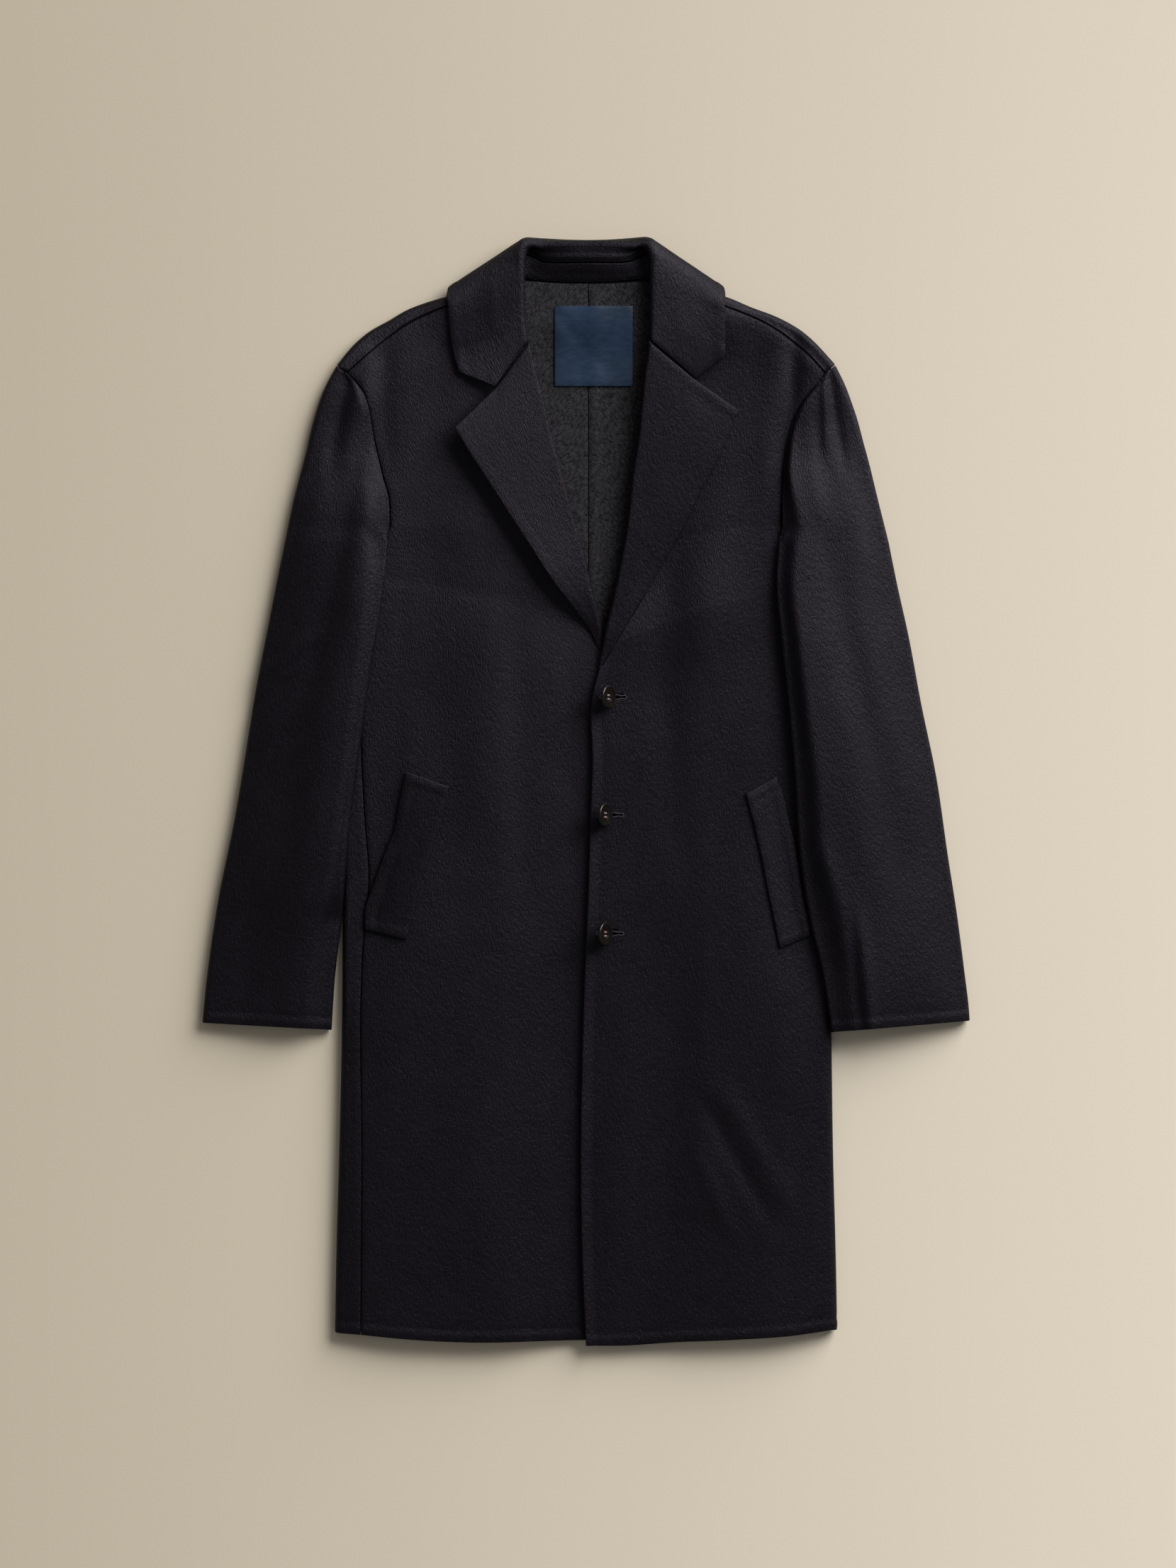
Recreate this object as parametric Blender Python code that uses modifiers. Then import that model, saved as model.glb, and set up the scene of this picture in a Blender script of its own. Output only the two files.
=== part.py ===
"""Single-breasted wool overcoat with three buttons, lying flat on its back.

The tables and dimensions are in millimetres, in the coat's own frame; the scene is in metres.
+X is the wearer's left, +Y runs up to the collar and +Z rises from the surface. The origin is
below the middle of the coat. "Right" and "left" in a name are the wearer's.
"""
import math
from collections import namedtuple

import bmesh
import bpy
import numpy as np
from mathutils import Matrix, Vector
from mathutils.bvhtree import BVHTree

MM = 0.001

# Driving dimensions
CLOTH = 2.6             # double-faced wool
TURNED = 3.0            # collar and lapels, where two faces are pressed together
SEAM = 0.3              # gap between pieces along a seam
SHOULDER_SEAM_GAP = 0.8 # the seams at the shoulder lie on a bend
CLEAR = 0.7             # gap between layers that lie on each other
COLLAR_CLEAR = 2.2      # gap where the collar wraps the shoulder
STAND_CLEAR = 1.5       # gap below the collar's stand
FOLD_RADIUS = 5.75      # cloth rolled over at the sides and the shoulders
LAYER_RISE = 8.6        # top of the fronts in the middle of the coat
FOLD_RISE = 2 * FOLD_RADIUS
COLLAR_LIFT = TURNED + 1.4      # the back neck lies on the collar's fall
OVERLAP_RISE = CLOTH + 1.3      # the left front lies on the right one
STRIP = 16.0            # the top sleeve reaches at least this far under, past its rolled edge
BACK_HEM_Y = -534.0
CENTRE_BACK_X = 2.0
BUTTON_DIAMETER = 24.0
BUTTON_THICKNESS = 3.4
BUTTON_TILT = math.radians(57)
BUTTON_SPOTS = ((22.0, 93.0), (19.0, -23.0), (19.0, -140.0))
LABEL_SIZE = (77.0, 79.0)
LABEL_MIDDLE = (7.5, 439.5)
LABEL_THICKNESS = 1.0

# Rows and columns of the panels, as shares of the boundary between two seams
SIDE_ROWS = np.linspace(0, 1, 7)
HOOK_ROWS = np.linspace(0, 1, 3)
SCYE_ROWS = np.linspace(0, 1, 7)
SHOULDER_COLUMNS = np.linspace(0, 1, 8)
NECK_COLUMNS = np.linspace(0, 1, 4)
ROLL_STEPS = np.array([0, 0.25, 0.5, 0.75, 1]) * math.pi * FOLD_RADIUS

# Edge of the flattened body, where the cloth rolls over
SIDE_FOLD = {
    "right": [(-248, -560), (-247.5, -517), (-246, -441), (-244, -370), (-241, -237), (-240, -100),
              (-239, 12), (-236, 117), (-231, 187), (-226, 250), (-222, 330)],
    "left": [(248, -560), (247.5, -517), (246, -441), (244, -370), (242, -237), (240, -128),
             (238, 12), (235, 117), (231, 187), (226, 250), (222, 330)],
}
SHOULDER_FOLD = {
    "right": [(-30, 529), (-80, 512), (-110, 499.5), (-128, 491), (-142, 487), (-159, 482), (-177, 475),
              (-194, 465), (-215, 453), (-229, 441), (-241, 427), (-248.5, 417), (-259, 399), (-271, 360)],
    "left": [(30, 528), (80, 512), (108, 500), (128, 491), (142, 486.5), (160, 479), (193, 466),
             (212, 455), (227, 442), (238, 430), (249, 417), (257, 401), (268, 368)],
}

# Seams that show, from the armpit or neck outwards
SIDE_SEAM = [   # on top at the wearer's right
    (-222, -535.5), (-221, -370), (-220, -155), (-214, -86), (-218, -29), (-222, 54), (-221, 150), (-218, 205)]
LEFT_SIDE_UNDER = 18.0      # the left front reaches this far under the back
SCYE = {
    "right": [(-193, 262), (-195, 293), (-200, 310), (-204, 327), (-208, 344), (-211, 362), (-214, 379),
              (-220, 395), (-228, 405), (-236, 413)],
    "left": [(193, 262), (193, 292), (195, 327), (200, 355), (207, 374), (214, 386), (224, 397),
             (232, 406), (235.5, 413)],
}
ARMPIT_HOOK = {
    "right": [(-218, 205), (-206, 228), (-193, 262)],
    "left": [(224, 205), (210, 228), (193, 262)],
}
SHOULDER_SEAM = {
    "right": [(-236, 413), (-217, 430), (-199, 445), (-174, 462), (-139, 478), (-87, 494)],
    "left": [(235.5, 413), (222, 428), (205, 443), (177, 462), (138, 478), (87, 494)],
}
BACK_HOOK = {    # on the underside, from the armpit to where the back scye starts
    "right": [(-221, 234), (-213, 266)],
    "left": [(209, 234), (213, 266)],
}
BACK_SCYE = {       # its last point is set where the shoulder starts to roll over
    "right": [(-213, 266), (-212, 330), (-219, 378), (-228, 402)],
    "left": [(213, 266), (212, 330), (219, 378), (228, 402)],
}
BACK_NECK = {
    "right": [(CENTRE_BACK_X, 501), (-30, 501.5), (-60, 503.5)],
    "left": [(CENTRE_BACK_X, 501), (34, 501.8), (62, 504)],
}
FRONT_EDGE = {      # from the hem up to the start of the roll
    "right": [(44, -540), (44, -300), (44, -100), (41, 40), (33, 112), (21, 148)],
    "left": [(0, -546.25), (-2.5, -500), (-1, -168), (1, -122), (4, -29), (6, 30), (6, 94), (11, 114),
             (19, 143)],
}
ROLL_LINE = {       # the inner edge of the lapel, from the buttons up to the collar
    "right": [(15, 163), (13, 173), (6, 200), (-1, 231), (-10, 262), (-22, 308), (-33, 349), (-43, 390),
              (-51, 421), (-56, 442)],
    "left": [(18, 156), (20, 165), (29, 206), (39, 257), (46, 318), (51, 349), (54, 380), (57, 411),
             (62, 444)],
}
FRONT_NECK = {      # hidden by the collar, from the roll to the shoulder seam
    "right": [(-74, 466), (-87, 482), (-87, 494)],
    "left": [(78, 468), (87, 482), (87, 494)],
}
HEM = {
    "right": [(-222, -535.5), (-185, -539), (-159, -541), (-105, -543), (-50, -542), (44, -540)],
    "left": [(0, -546.25), (37, -546.25), (84, -543), (150, -540), (206, -536), (242.2, -531)],
}
LAPEL_EDGE = {      # the outer edge, from the buttons up to the tip
    "right": [(3, 161), (-15, 183), (-36, 212), (-56, 243), (-77, 275), (-97, 306), (-117, 337),
              (-130, 358)],
    "left": [(32, 150), (46, 173), (67, 208), (88, 245), (106, 280), (113, 295), (129, 325), (141, 352),
             (151, 376)],
}
NOTCH = {"right": (-89, 398), "left": (108, 406)}
NOTCH_Z = {"right": 23.0, "left": 19.5}

Ridge = namedtuple("Ridge", "inner_x inner_y outer_x outer_y rest thick ridge_at ridge_z")
SLEEVE = {      # rows from the cuff to below the armpit: both edges, how the inner edge lies, the highest line
    "right": [
        Ridge(-251, -235, -378.6, -228, 0, 8, 22, 18), Ridge(-247.5, -182, -374, -182, 0, 9, 20, 20),
        Ridge(-241, -127, -366, -125, 0, 10, 18, 22), Ridge(-238.6, -100, -361, -96, 9.5, 10, 16, 25),
        Ridge(-236, -70, -356, -72, 11.8, 10, 16, 26), Ridge(-231, -21, -347, -28, 12.1, 10.5, 16, 26),
        Ridge(-224, 31, -338, 25, 12.3, 10.5, 16, 27), Ridge(-214, 105, -325, 105, 12.3, 10.5, 16, 27),
        Ridge(-203, 174, -312, 172, 12.3, 10.5, 16, 27), Ridge(-197.3, 218, -303, 218, 12.3, 9, 16, 25),
        Ridge(-195.5, 246, -297, 247, 12.3, 7.5, 18, 21),
    ],
    "left": [
        Ridge(241.5, -237, 378.6, -226, 12.3, 7, 31, 25), Ridge(238, -215, 377.2, -209, 12.3, 7, 34, 25),
        Ridge(233, -183, 374, -183, 12.3, 7, 39, 25), Ridge(220, -127, 366.5, -125, 12.3, 7.5, 44, 24),
        Ridge(209.7, -60, 356.5, -60, 12.3, 8.5, 21, 27), Ridge(204.6, 12, 346, 12, 12.3, 9.5, 20, 27),
        Ridge(197.5, 92, 330, 90, 12.3, 9.5, 15, 27), Ridge(191, 152, 318.5, 152, 12.3, 9.5, 14, 27),
        Ridge(186.8, 204, 307, 204, 12.3, 8.5, 14, 25), Ridge(189, 244, 298.5, 246, 12.3, 7.5, 17, 21),
    ],
}
SLEEVE_HEAD = {     # outer edge from the armpit's height up to the shoulder
    "right": [(-294, 262), (-288, 290), (-282, 313), (-276, 336), (-271, 358), (-265, 379), (-258, 398),
              (-246.4, 418.8)],
    "left": [(294.5, 262), (287, 292), (279, 325), (273, 347), (268, 366), (262, 384), (256, 400),
             (246.8, 418.8)],
}
SLEEVE_EDGE_RISE = 14.0     # outer fold of the sleeve

Station = namedtuple("Station", "roll lean heading radius edge neck")
COLLAR = [      # from the wearer's right leaf round the back to the left one
    Station((-56.5, 442.0, 19.7), 180, 225, 4.7, (-125.1, 412.8, 17.5), (-63.0, 436.5, 15.0)),
    Station((-58.8, 456.0, 20.1), 180, 192, 4.8, (-131.5, 433.0, 17.5), (-70.0, 455.0, 15.0)),
    Station((-60.0, 470.0, 20.4), 180, 182, 4.8, (-134.0, 449.0, 18.0), (-77.0, 471.0, 15.0)),
    Station((-60.0, 494.7, 21.2), 178, 180, 5.0, (-135.5, 466.0, 18.2), (-87.0, 487.0, 15.0)),
    Station((-60.0, 516.0, 22.8), 162, 176, 5.6, (-136.5, 480.5, 17.6), (-86.0, 502.0, 15.0)),
    Station((-60.0, 529.5, 25.0), 135, 164, 6.2, (-137.5, 491.5, 14.0), (-73.0, 516.0, 12.0)),
    Station((-59.0, 538.0, 25.6), 98, 146, 7.2, (-134.8, 497.8, 6.5), (-66.0, 510.0, 8.5)),
    Station((-55.5, 541.2, 23.5), 74, 130, 8.4, (-124.5, 488.0, 0.0), (-62.0, 507.0, 7.0)),
    Station((-51.0, 542.6, 20.8), 52, 116, 9.6, (-109.0, 477.5, 0.0), (-56.0, 504.9, 6.6)),
    Station((-41.0, 544.2, 16.5), 26, 100, 11.0, (-80.3, 471.6, 0.0), (-44.0, 503.4, 6.3)),
    Station((-22.0, 544.1, 13.6), 8, 92, 12.0, (-38.0, 471.6, 0.0), (-23.0, 502.2, 6.2)),
    Station((1.6, 543.4, 12.2), 0, 90, 12.0, (1.6, 471.6, 0.0), (1.6, 501.8, 6.2)),
    Station((24.0, 544.1, 13.6), 8, 88, 12.0, (38.0, 471.6, 0.0), (25.0, 502.6, 6.2)),
    Station((41.0, 544.3, 16.5), 26, 80, 11.0, (80.0, 471.6, 0.0), (45.0, 504.0, 6.3)),
    Station((51.5, 543.0, 20.8), 52, 64, 9.6, (109.0, 477.5, 0.0), (57.0, 505.6, 6.6)),
    Station((56.5, 541.6, 23.5), 74, 50, 8.4, (124.5, 488.0, 0.0), (63.0, 508.0, 7.0)),
    Station((60.5, 538.4, 25.6), 98, 34, 7.2, (134.8, 498.0, 6.5), (67.0, 510.5, 8.5)),
    Station((61.8, 529.5, 25.0), 135, 16, 6.2, (137.5, 492.0, 14.0), (74.0, 516.0, 12.0)),
    Station((62.0, 516.0, 22.8), 162, 4, 5.6, (137.0, 481.5, 17.6), (86.0, 502.0, 15.0)),
    Station((62.0, 496.0, 21.2), 178, 0, 5.0, (137.3, 468.0, 18.2), (87.0, 487.0, 15.0)),
    Station((62.0, 474.0, 20.4), 180, -2, 4.8, (137.5, 453.0, 18.0), (79.0, 474.0, 15.0)),
    Station((62.3, 459.0, 20.1), 180, -10, 4.8, (137.3, 441.0, 17.5), (73.5, 458.0, 15.0)),
    Station((62.0, 444.0, 19.7), 180, -34, 4.7, (137.0, 429.0, 17.5), (69.0, 441.0, 15.0)),
]
FALL_TO_STAND = 3           # column of the path to the neck where the fall ends and the stand starts

Welt = namedtuple("Welt", "top_sewn top_free bottom_sewn bottom_free")
WELTS = {
    "right": Welt((-135, 5), (-178, 20), (-177, -146), (-218, -136)),
    "left": Welt((157, -2), (187, 15), (190, -154), (221, -143)),
}
WELT_THICKNESS = 3.0

# Large folds of the fronts: a trough has a negative rise
Crease = namedtuple("Crease", "x y_low y_high width rise")
CREASES = [
    Crease(-188, 330, 440, 16, -1.6), Crease(-152, 60, 240, 26, -1.6), Crease(-108, 260, 420, 30, 1.6),
    Crease(96, 90, 250, 26, -1.6), Crease(134, 150, 330, 26, 1.6), Crease(196, -290, -190, 26, 1.4),
    Crease(40, -480, -350, 14, 1.2), Crease(86, -480, -330, 18, -1.2), Crease(-120, -430, -180, 36, 1.3),
]


def smooth(share):
    """Eased share between 0 and 1."""
    share = np.clip(share, 0, 1)
    return share * share * (3 - 2 * share)


def ramp(value, start, end):
    """Eased rise from 0 at start to 1 at end."""
    return smooth((np.asarray(value, float) - start) / (end - start))


def lerp(low, high, share):
    """Point or number between two others."""
    return low + (high - low) * share


def curve(points, shares):
    """Points of a smooth curve through a short list, at shares of its length."""
    knots = np.array(points, float)
    steps = np.linalg.norm(np.diff(knots, axis=0), axis=1)
    place = np.concatenate([[0], np.cumsum(steps)])
    slopes = np.gradient(knots, place, axis=0)
    dense = []
    for index, step in enumerate(steps):
        for t in np.linspace(0, 1, 12, endpoint=index == len(steps) - 1):
            h_start = (1 + 2 * t) * (1 - t) ** 2
            h_out = t * (1 - t) ** 2 * step
            h_end = t * t * (3 - 2 * t)
            h_in = t * t * (t - 1) * step
            dense.append(h_start * knots[index] + h_out * slopes[index]
                         + h_end * knots[index + 1] + h_in * slopes[index + 1])
    return along(dense, shares)


def along(points, shares):
    """Points of a polyline at shares of its length."""
    points = np.array(points, float)
    place = np.concatenate([[0], np.cumsum(np.linalg.norm(np.diff(points, axis=0), axis=1))])
    wanted = np.asarray(shares, float) * place[-1]
    return np.stack([np.interp(wanted, place, column) for column in points.T], axis=1)


def join(*runs):
    """One run of points from several that share their ends."""
    return np.concatenate([runs[0]] + [run[1:] for run in runs[1:]])


def moved_aside(points, distance):
    """Plan points moved to the left of their direction of travel, by one distance or one each."""
    distance = np.broadcast_to(distance, len(points))[:, None]
    tangent = np.gradient(points, axis=0)
    tangent /= np.linalg.norm(tangent, axis=1, keepdims=True)
    return points + distance * np.stack([-tangent[:, 1], tangent[:, 0]], axis=1)


def shares_of(points):
    """Share of the length at which each point lies."""
    place = np.concatenate([[0], np.cumsum(np.linalg.norm(np.diff(points, axis=0), axis=1))])
    return place / place[-1]


def patch(left, right, bottom, top):
    """Grid of points between four edges; left and right run upwards, bottom and top to the right."""
    u = ((shares_of(bottom) + shares_of(top)) / 2)[None, :, None]
    v = ((shares_of(left) + shares_of(right)) / 2)[:, None, None]
    across = lerp(left[:, None], right[:, None], u)
    upward = lerp(bottom[None], top[None], v)
    low = lerp(bottom[0], bottom[-1], u)
    high = lerp(top[0], top[-1], u)
    return across + upward - lerp(low, high, v)


class Fold:
    """Line that the flattened body rolls over, with the cloth's outside at FOLD_RADIUS."""

    def __init__(self, outline, outward_left):
        shares = np.linspace(0, 1, 120)
        self.side = 1 if outward_left else -1
        self.line = moved_aside(curve(outline, shares), -self.side * FOLD_RADIUS)

    def foot(self, points):
        """Signed distance past the line, the nearest point on it and the outward direction there."""
        start, end = self.line[:-1], self.line[1:]
        step = end - start
        length = np.linalg.norm(step, axis=1)
        offset = points[:, None] - start[None]
        share = np.clip((offset * step).sum(2) / length ** 2, 0, 1)
        near = start + share[:, :, None] * step
        best = np.argmin(np.linalg.norm(points[:, None] - near, axis=2), axis=1)
        rows = np.arange(len(points))
        outward = self.side * np.stack([-step[:, 1], step[:, 0]], axis=1)[best] / length[best, None]
        distance = ((points - near[rows, best]) * outward).sum(1)
        return distance, near[rows, best], outward

    def roll(self, points):
        """Plan points after rolling, and how far each has turned over, from 0 to 1."""
        distance, near, outward = self.foot(points)
        turn = np.clip(distance / FOLD_RADIUS, 0, math.pi)
        past = np.maximum(distance - math.pi * FOLD_RADIUS, 0)
        reach = np.where(distance > 0, FOLD_RADIUS * np.sin(turn) - past, distance)
        rolled = np.where(distance[:, None] > 0, near + reach[:, None] * outward, points)
        return rolled, (1 - np.cos(turn)) / 2

    def unroll(self, points):
        """Flat places of plan points that lie on the far side of the roll."""
        points = np.array(points, float)
        distance, near, outward = self.foot(points)
        return near + (math.pi * FOLD_RADIUS - distance)[:, None] * outward

    def start(self, points):
        """Nearest points on the line where the roll starts."""
        return self.foot(np.array(points, float))[1]

    def start_at(self, heights):
        """Points of the line at given heights."""
        return np.stack([np.interp(heights, self.line[:, 1], self.line[:, 0]), heights], axis=1)


SIDE = {"right": Fold(SIDE_FOLD["right"], True), "left": Fold(SIDE_FOLD["left"], False)}
SHOULDER = {"right": Fold(SHOULDER_FOLD["right"], False), "left": Fold(SHOULDER_FOLD["left"], True)}


def lift(x, y):
    """Height of the back's underside, raised where the collar's fall lies under it."""
    return COLLAR_LIFT * ramp(y, 425, 468) * (1 - ramp(np.abs(x - 1), 126, 168))


def creases(x, y):
    """Rise and fall of the large folds in the fronts."""
    total = 0
    for crease in CREASES:
        middle = (crease.y_low + crease.y_high) / 2
        half = (crease.y_high - crease.y_low) / 2
        along_y = 1 - ramp(np.abs(y - middle), half * 0.5, half * 1.3)
        total = total + crease.rise * np.exp(-((x - crease.x) / crease.width) ** 2) * along_y
    return total


def side_x(x, y):
    """Reach of the flattened body at a height, on the side of x."""
    right = np.interp(y, [p[1] for p in SIDE_FOLD["right"]], [p[0] for p in SIDE_FOLD["right"]])
    left = np.interp(y, [p[1] for p in SIDE_FOLD["left"]], [p[0] for p in SIDE_FOLD["left"]])
    return np.where(np.asarray(x) < 0, -right, left)


def shoulder_y(x):
    """Height of the shoulder's edge at a place across."""
    right = SHOULDER_FOLD["right"][::-1]
    left = SHOULDER_FOLD["left"]
    return np.interp(x, [p[0] for p in right + left], [p[1] for p in right + left])


def fold_share(x, y):
    """How much a place belongs to the raised edges of the body, from 0 to 1."""
    from_side = side_x(x, y) - np.abs(x)
    from_shoulder = shoulder_y(x) - y
    return 1 - ramp(from_side, 40, 120) * ramp(from_shoulder, 20, 120)


def roll_distance(x, y, side):
    """Distance across from the lapel's roll line."""
    line = np.array(ROLL_LINE[side])
    return np.abs(x - np.interp(y, line[:, 1], line[:, 0]))


def top_of_body(x, y, side):
    """Height of a front's outer face."""
    x, y = np.asarray(x, float), np.asarray(y, float)
    edges = fold_share(x, y)
    rise = lerp(LAYER_RISE, FOLD_RISE, edges) + lift(x, y) + creases(x, y) * (1 - edges)
    near_roll = np.exp(-(roll_distance(x, y, side) / 28) ** 2)
    rise = rise + 1.2 * near_roll * ramp(y, 200, 400)
    if side == "left":
        rise = rise + OVERLAP_RISE * (1 - ramp(x, 50, 112)) * (1 - ramp(y, 150, 215))
    return rise


def shoulder_distance(x, y, side):
    """Distance past the line where the shoulder starts to roll over."""
    points = np.stack([np.atleast_1d(x), np.atleast_1d(y)], axis=1)
    return float(SHOULDER[side].foot(points.astype(float))[0][0])


def over_body(x, y, side, gap):
    """Height at which a layer clears the fronts and the rolled shoulder by a gap."""
    distance = shoulder_distance(x, y, side)
    radius = FOLD_RADIUS + gap
    if distance <= 0:
        return float(top_of_body(x, y, side)) + gap
    if distance >= radius:
        return 0.0
    return float(lift(x, y)) + FOLD_RADIUS + math.sqrt(radius ** 2 - distance ** 2)


def under_body(x, y, side, gap):
    """Height below which a layer clears the back and the rolled shoulder by a gap."""
    distance = shoulder_distance(x, y, side)
    radius = FOLD_RADIUS + gap
    if distance <= 0:
        return 0.0
    if distance >= radius:
        return 100.0
    return max(0.0, float(lift(x, y)) + FOLD_RADIUS - math.sqrt(radius ** 2 - distance ** 2))


# ---------------------------------------------------------------------------------------------
# Making meshes

def cloth_material(name, colour, roughness):
    """Principled material of one cloth, horn or thread."""
    material = bpy.data.materials.new(name)
    material.use_nodes = True
    shader = material.node_tree.nodes["Principled BSDF"]
    shader.inputs["Base Color"].default_value = (*colour, 1)
    shader.inputs["Roughness"].default_value = roughness
    shader.inputs["Metallic"].default_value = 0
    return material


def place(name, mesh, material):
    """Put a mesh in the coat's collection as a named object."""
    mesh.materials.append(material)
    part = bpy.data.objects.new(name, mesh)
    COAT.objects.link(part)
    return part


def sheet(name, grid, thickness, material, outside_up=True, strips=()):
    """Wall of cloth on a grid of points of its outer face, with strips joined on at its edges."""
    bm = bmesh.new()
    for points in (grid, *strips):
        rows, columns = points.shape[:2]
        made = bmesh.ops.create_grid(bm, x_segments=columns - 1, y_segments=rows - 1, size=1)
        for vertex in made["verts"]:
            column = round((vertex.co.x + 1) / 2 * (columns - 1))
            row = round((vertex.co.y + 1) / 2 * (rows - 1))
            vertex.co = Vector(points[row, column]) * MM
    bmesh.ops.remove_doubles(bm, verts=bm.verts, dist=0.01 * MM)
    if not outside_up:
        bmesh.ops.reverse_faces(bm, faces=bm.faces)
    mesh = bpy.data.meshes.new(name)
    bm.to_mesh(mesh)
    bm.free()
    mesh.shade_smooth()
    part = place(name, mesh, material)
    wall = part.modifiers.new("Wall", "SOLIDIFY")
    wall.thickness = thickness * MM
    wall.offset = -1
    return part


def raised(flat, height):
    """Grid of plan points with a height for each."""
    return np.concatenate([flat, height[..., None]], axis=2)


# ---------------------------------------------------------------------------------------------
# The body

def into_front(side):
    """Half the seam gap, signed so that a front's outer boundary moves into the front."""
    return -SEAM / 2 if side == "right" else SEAM / 2


def side_rows(side, hem_y):
    """Points up the line where the side starts to roll, from the hem to the armpit."""
    return SIDE[side].start_at(lerp(hem_y, 205, SIDE_ROWS))


def rolled_strip(fold, base, flat_end, side, from_top):
    """Grid from a panel's edge over a roll to the seam beyond it, with the panel's edge as one side."""
    distance, near, outward = fold.foot(flat_end)
    shares = ROLL_STEPS[:, None] / distance[None]
    shares = np.concatenate([shares, np.ones((1, len(base)))])[..., None]
    flat = lerp(base[None], flat_end[None], shares)
    rolled, turn = fold.roll(flat.reshape(-1, 2))
    under, upper = lift(rolled[:, 0], rolled[:, 1]), top_of_body(rolled[:, 0], rolled[:, 1], side)
    height = lerp(upper, 0, turn) if from_top else lerp(under, upper, turn)
    return raised(rolled.reshape(flat.shape), height.reshape(flat.shape[:2]))


def front_rows(side):
    """Outer and inner boundary of a front, from the hem to the shoulder."""
    lower = curve(SIDE_SEAM, SIDE_ROWS) if side == "right" else side_rows(side, -531)
    outer = join(lower, curve(ARMPIT_HOOK[side], HOOK_ROWS), curve(SCYE[side], SCYE_ROWS))
    moved = moved_aside(outer, into_front(side))
    if side == "left":
        moved[:len(SIDE_ROWS)] = outer[:len(SIDE_ROWS)]
    behind_roll = (-3.5, 0) if side == "right" else (3.5, 0)
    roll = np.array(ROLL_LINE[side]) + behind_roll
    upper = np.concatenate([[FRONT_EDGE[side][-1]], roll, FRONT_NECK[side]])
    upper_rows = np.linspace(0, 1, len(HOOK_ROWS) + len(SCYE_ROWS) - 1)
    inner = join(curve(FRONT_EDGE[side], SIDE_ROWS), curve(upper, upper_rows))
    return moved, inner


def shoulder_seam(side, into):
    """Seam at the shoulder from the scye to the neck, moved to the front or to the back of it."""
    gap = into_front(side) * SHOULDER_SEAM_GAP / SEAM
    return moved_aside(curve(SHOULDER_SEAM[side], SHOULDER_COLUMNS), gap * into)


def make_front(side, material):
    """One front, from the hem to the shoulder seam and in to the roll line."""
    outer, inner = front_rows(side)
    top = shoulder_seam(side, 1)
    top[0], top[-1] = outer[-1], inner[-1]
    columns = SHOULDER_COLUMNS if side == "right" else 1 - SHOULDER_COLUMNS[::-1]
    hem = curve(HEM[side], columns)
    if side == "right":
        hem[0], hem[-1] = outer[0], inner[0]
        flat = patch(outer, inner, hem, top)
        return sheet("front_right", raised(flat, top_of_body(flat[..., 0], flat[..., 1], side)), CLOTH, material)
    hem[0], hem[-1] = inner[0], outer[0]
    flat = patch(inner, outer, hem, top[::-1])
    grid = raised(flat, top_of_body(flat[..., 0], flat[..., 1], side))
    base = outer[:len(SIDE_ROWS)]
    under = base + (math.pi * FOLD_RADIUS + LEFT_SIDE_UNDER, 0)
    strip = rolled_strip(SIDE[side], base, under, side, True).swapaxes(0, 1)
    front = sheet("front_left", grid, CLOTH, material, True, [strip])
    cut_buttonholes(front)
    return front


def make_back(side, material):
    """Half of the back, rolled over the shoulder and, at the wearer's right, over the side."""
    sign = -1 if side == "right" else 1
    seam = shoulder_seam(side, -1)
    shoulder = SHOULDER[side].start(seam)
    lower = side_rows(side, -533)
    if side == "left":
        lower = lower - (LEFT_SIDE_UNDER + 0.6, 0)
    hook = curve(np.concatenate([[lower[-1]], BACK_HOOK[side]]), HOOK_ROWS)
    scye = curve(np.concatenate([BACK_SCYE[side], [shoulder[0]]]), SCYE_ROWS)
    outer = join(lower, hook, scye)
    centre_x = CENTRE_BACK_X + sign * SEAM / 2
    rows = shares_of(outer[len(SIDE_ROWS) - 1:])
    heights = np.concatenate([lerp(BACK_HEM_Y, 205, SIDE_ROWS), lerp(205, 501, rows)[1:]])
    centre = np.stack([np.full(len(heights), centre_x), heights], axis=1)
    neck = np.concatenate([BACK_NECK[side], [shoulder[-1]]])
    neck[0, 0] = centre_x
    top = join(curve(neck, NECK_COLUMNS), shoulder[::-1])
    top[0] = centre[-1]
    columns = shares_of(top)
    hem = np.stack([lerp(centre_x, outer[0, 0], columns), lerp(BACK_HEM_Y, outer[0, 1], columns)], axis=1)
    flat = patch(centre, outer, hem, top)
    grid = raised(flat, lift(flat[..., 0], flat[..., 1]))
    over = rolled_strip(SHOULDER[side], shoulder, SHOULDER[side].unroll(seam), side, False)[:, ::-1]
    strips = [over]
    if side == "right":
        flat_seam = SIDE[side].unroll(moved_aside(curve(SIDE_SEAM, SIDE_ROWS), SEAM / 2))
        strips.append(rolled_strip(SIDE[side], lower, flat_seam, side, False).swapaxes(0, 1))
    return sheet("back_" + side, grid, CLOTH, material, side == "right", strips)


# ---------------------------------------------------------------------------------------------
# The sleeves

ARC_COLUMNS = 4
TOP_COLUMNS = 6


def sleeve_rows(side):
    """Rows of a sleeve up to the armpit, then beside the scye up to the shoulder."""
    lower = np.array(SLEEVE[side], float)
    gap = -into_front(side) * (1 + 7 * ramp(SCYE_ROWS, 0.7, 1))
    inner = moved_aside(curve(SCYE[side], SCYE_ROWS), gap)
    outer = curve(SLEEVE_HEAD[side], SCYE_ROWS)
    cap = []
    for share, near, far in zip(SCYE_ROWS, inner, outer):
        seam = float(top_of_body(*near, side)) + 3.4 * (1 - float(ramp(share, 0, 0.4)))
        ridge = seam + 4.5 * math.sin(math.pi * min(share + 0.25, 1))
        cap.append([*near, *far, seam, 0, lerp(30, 4, share), ridge])
    return lower, np.array(cap)


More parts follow.
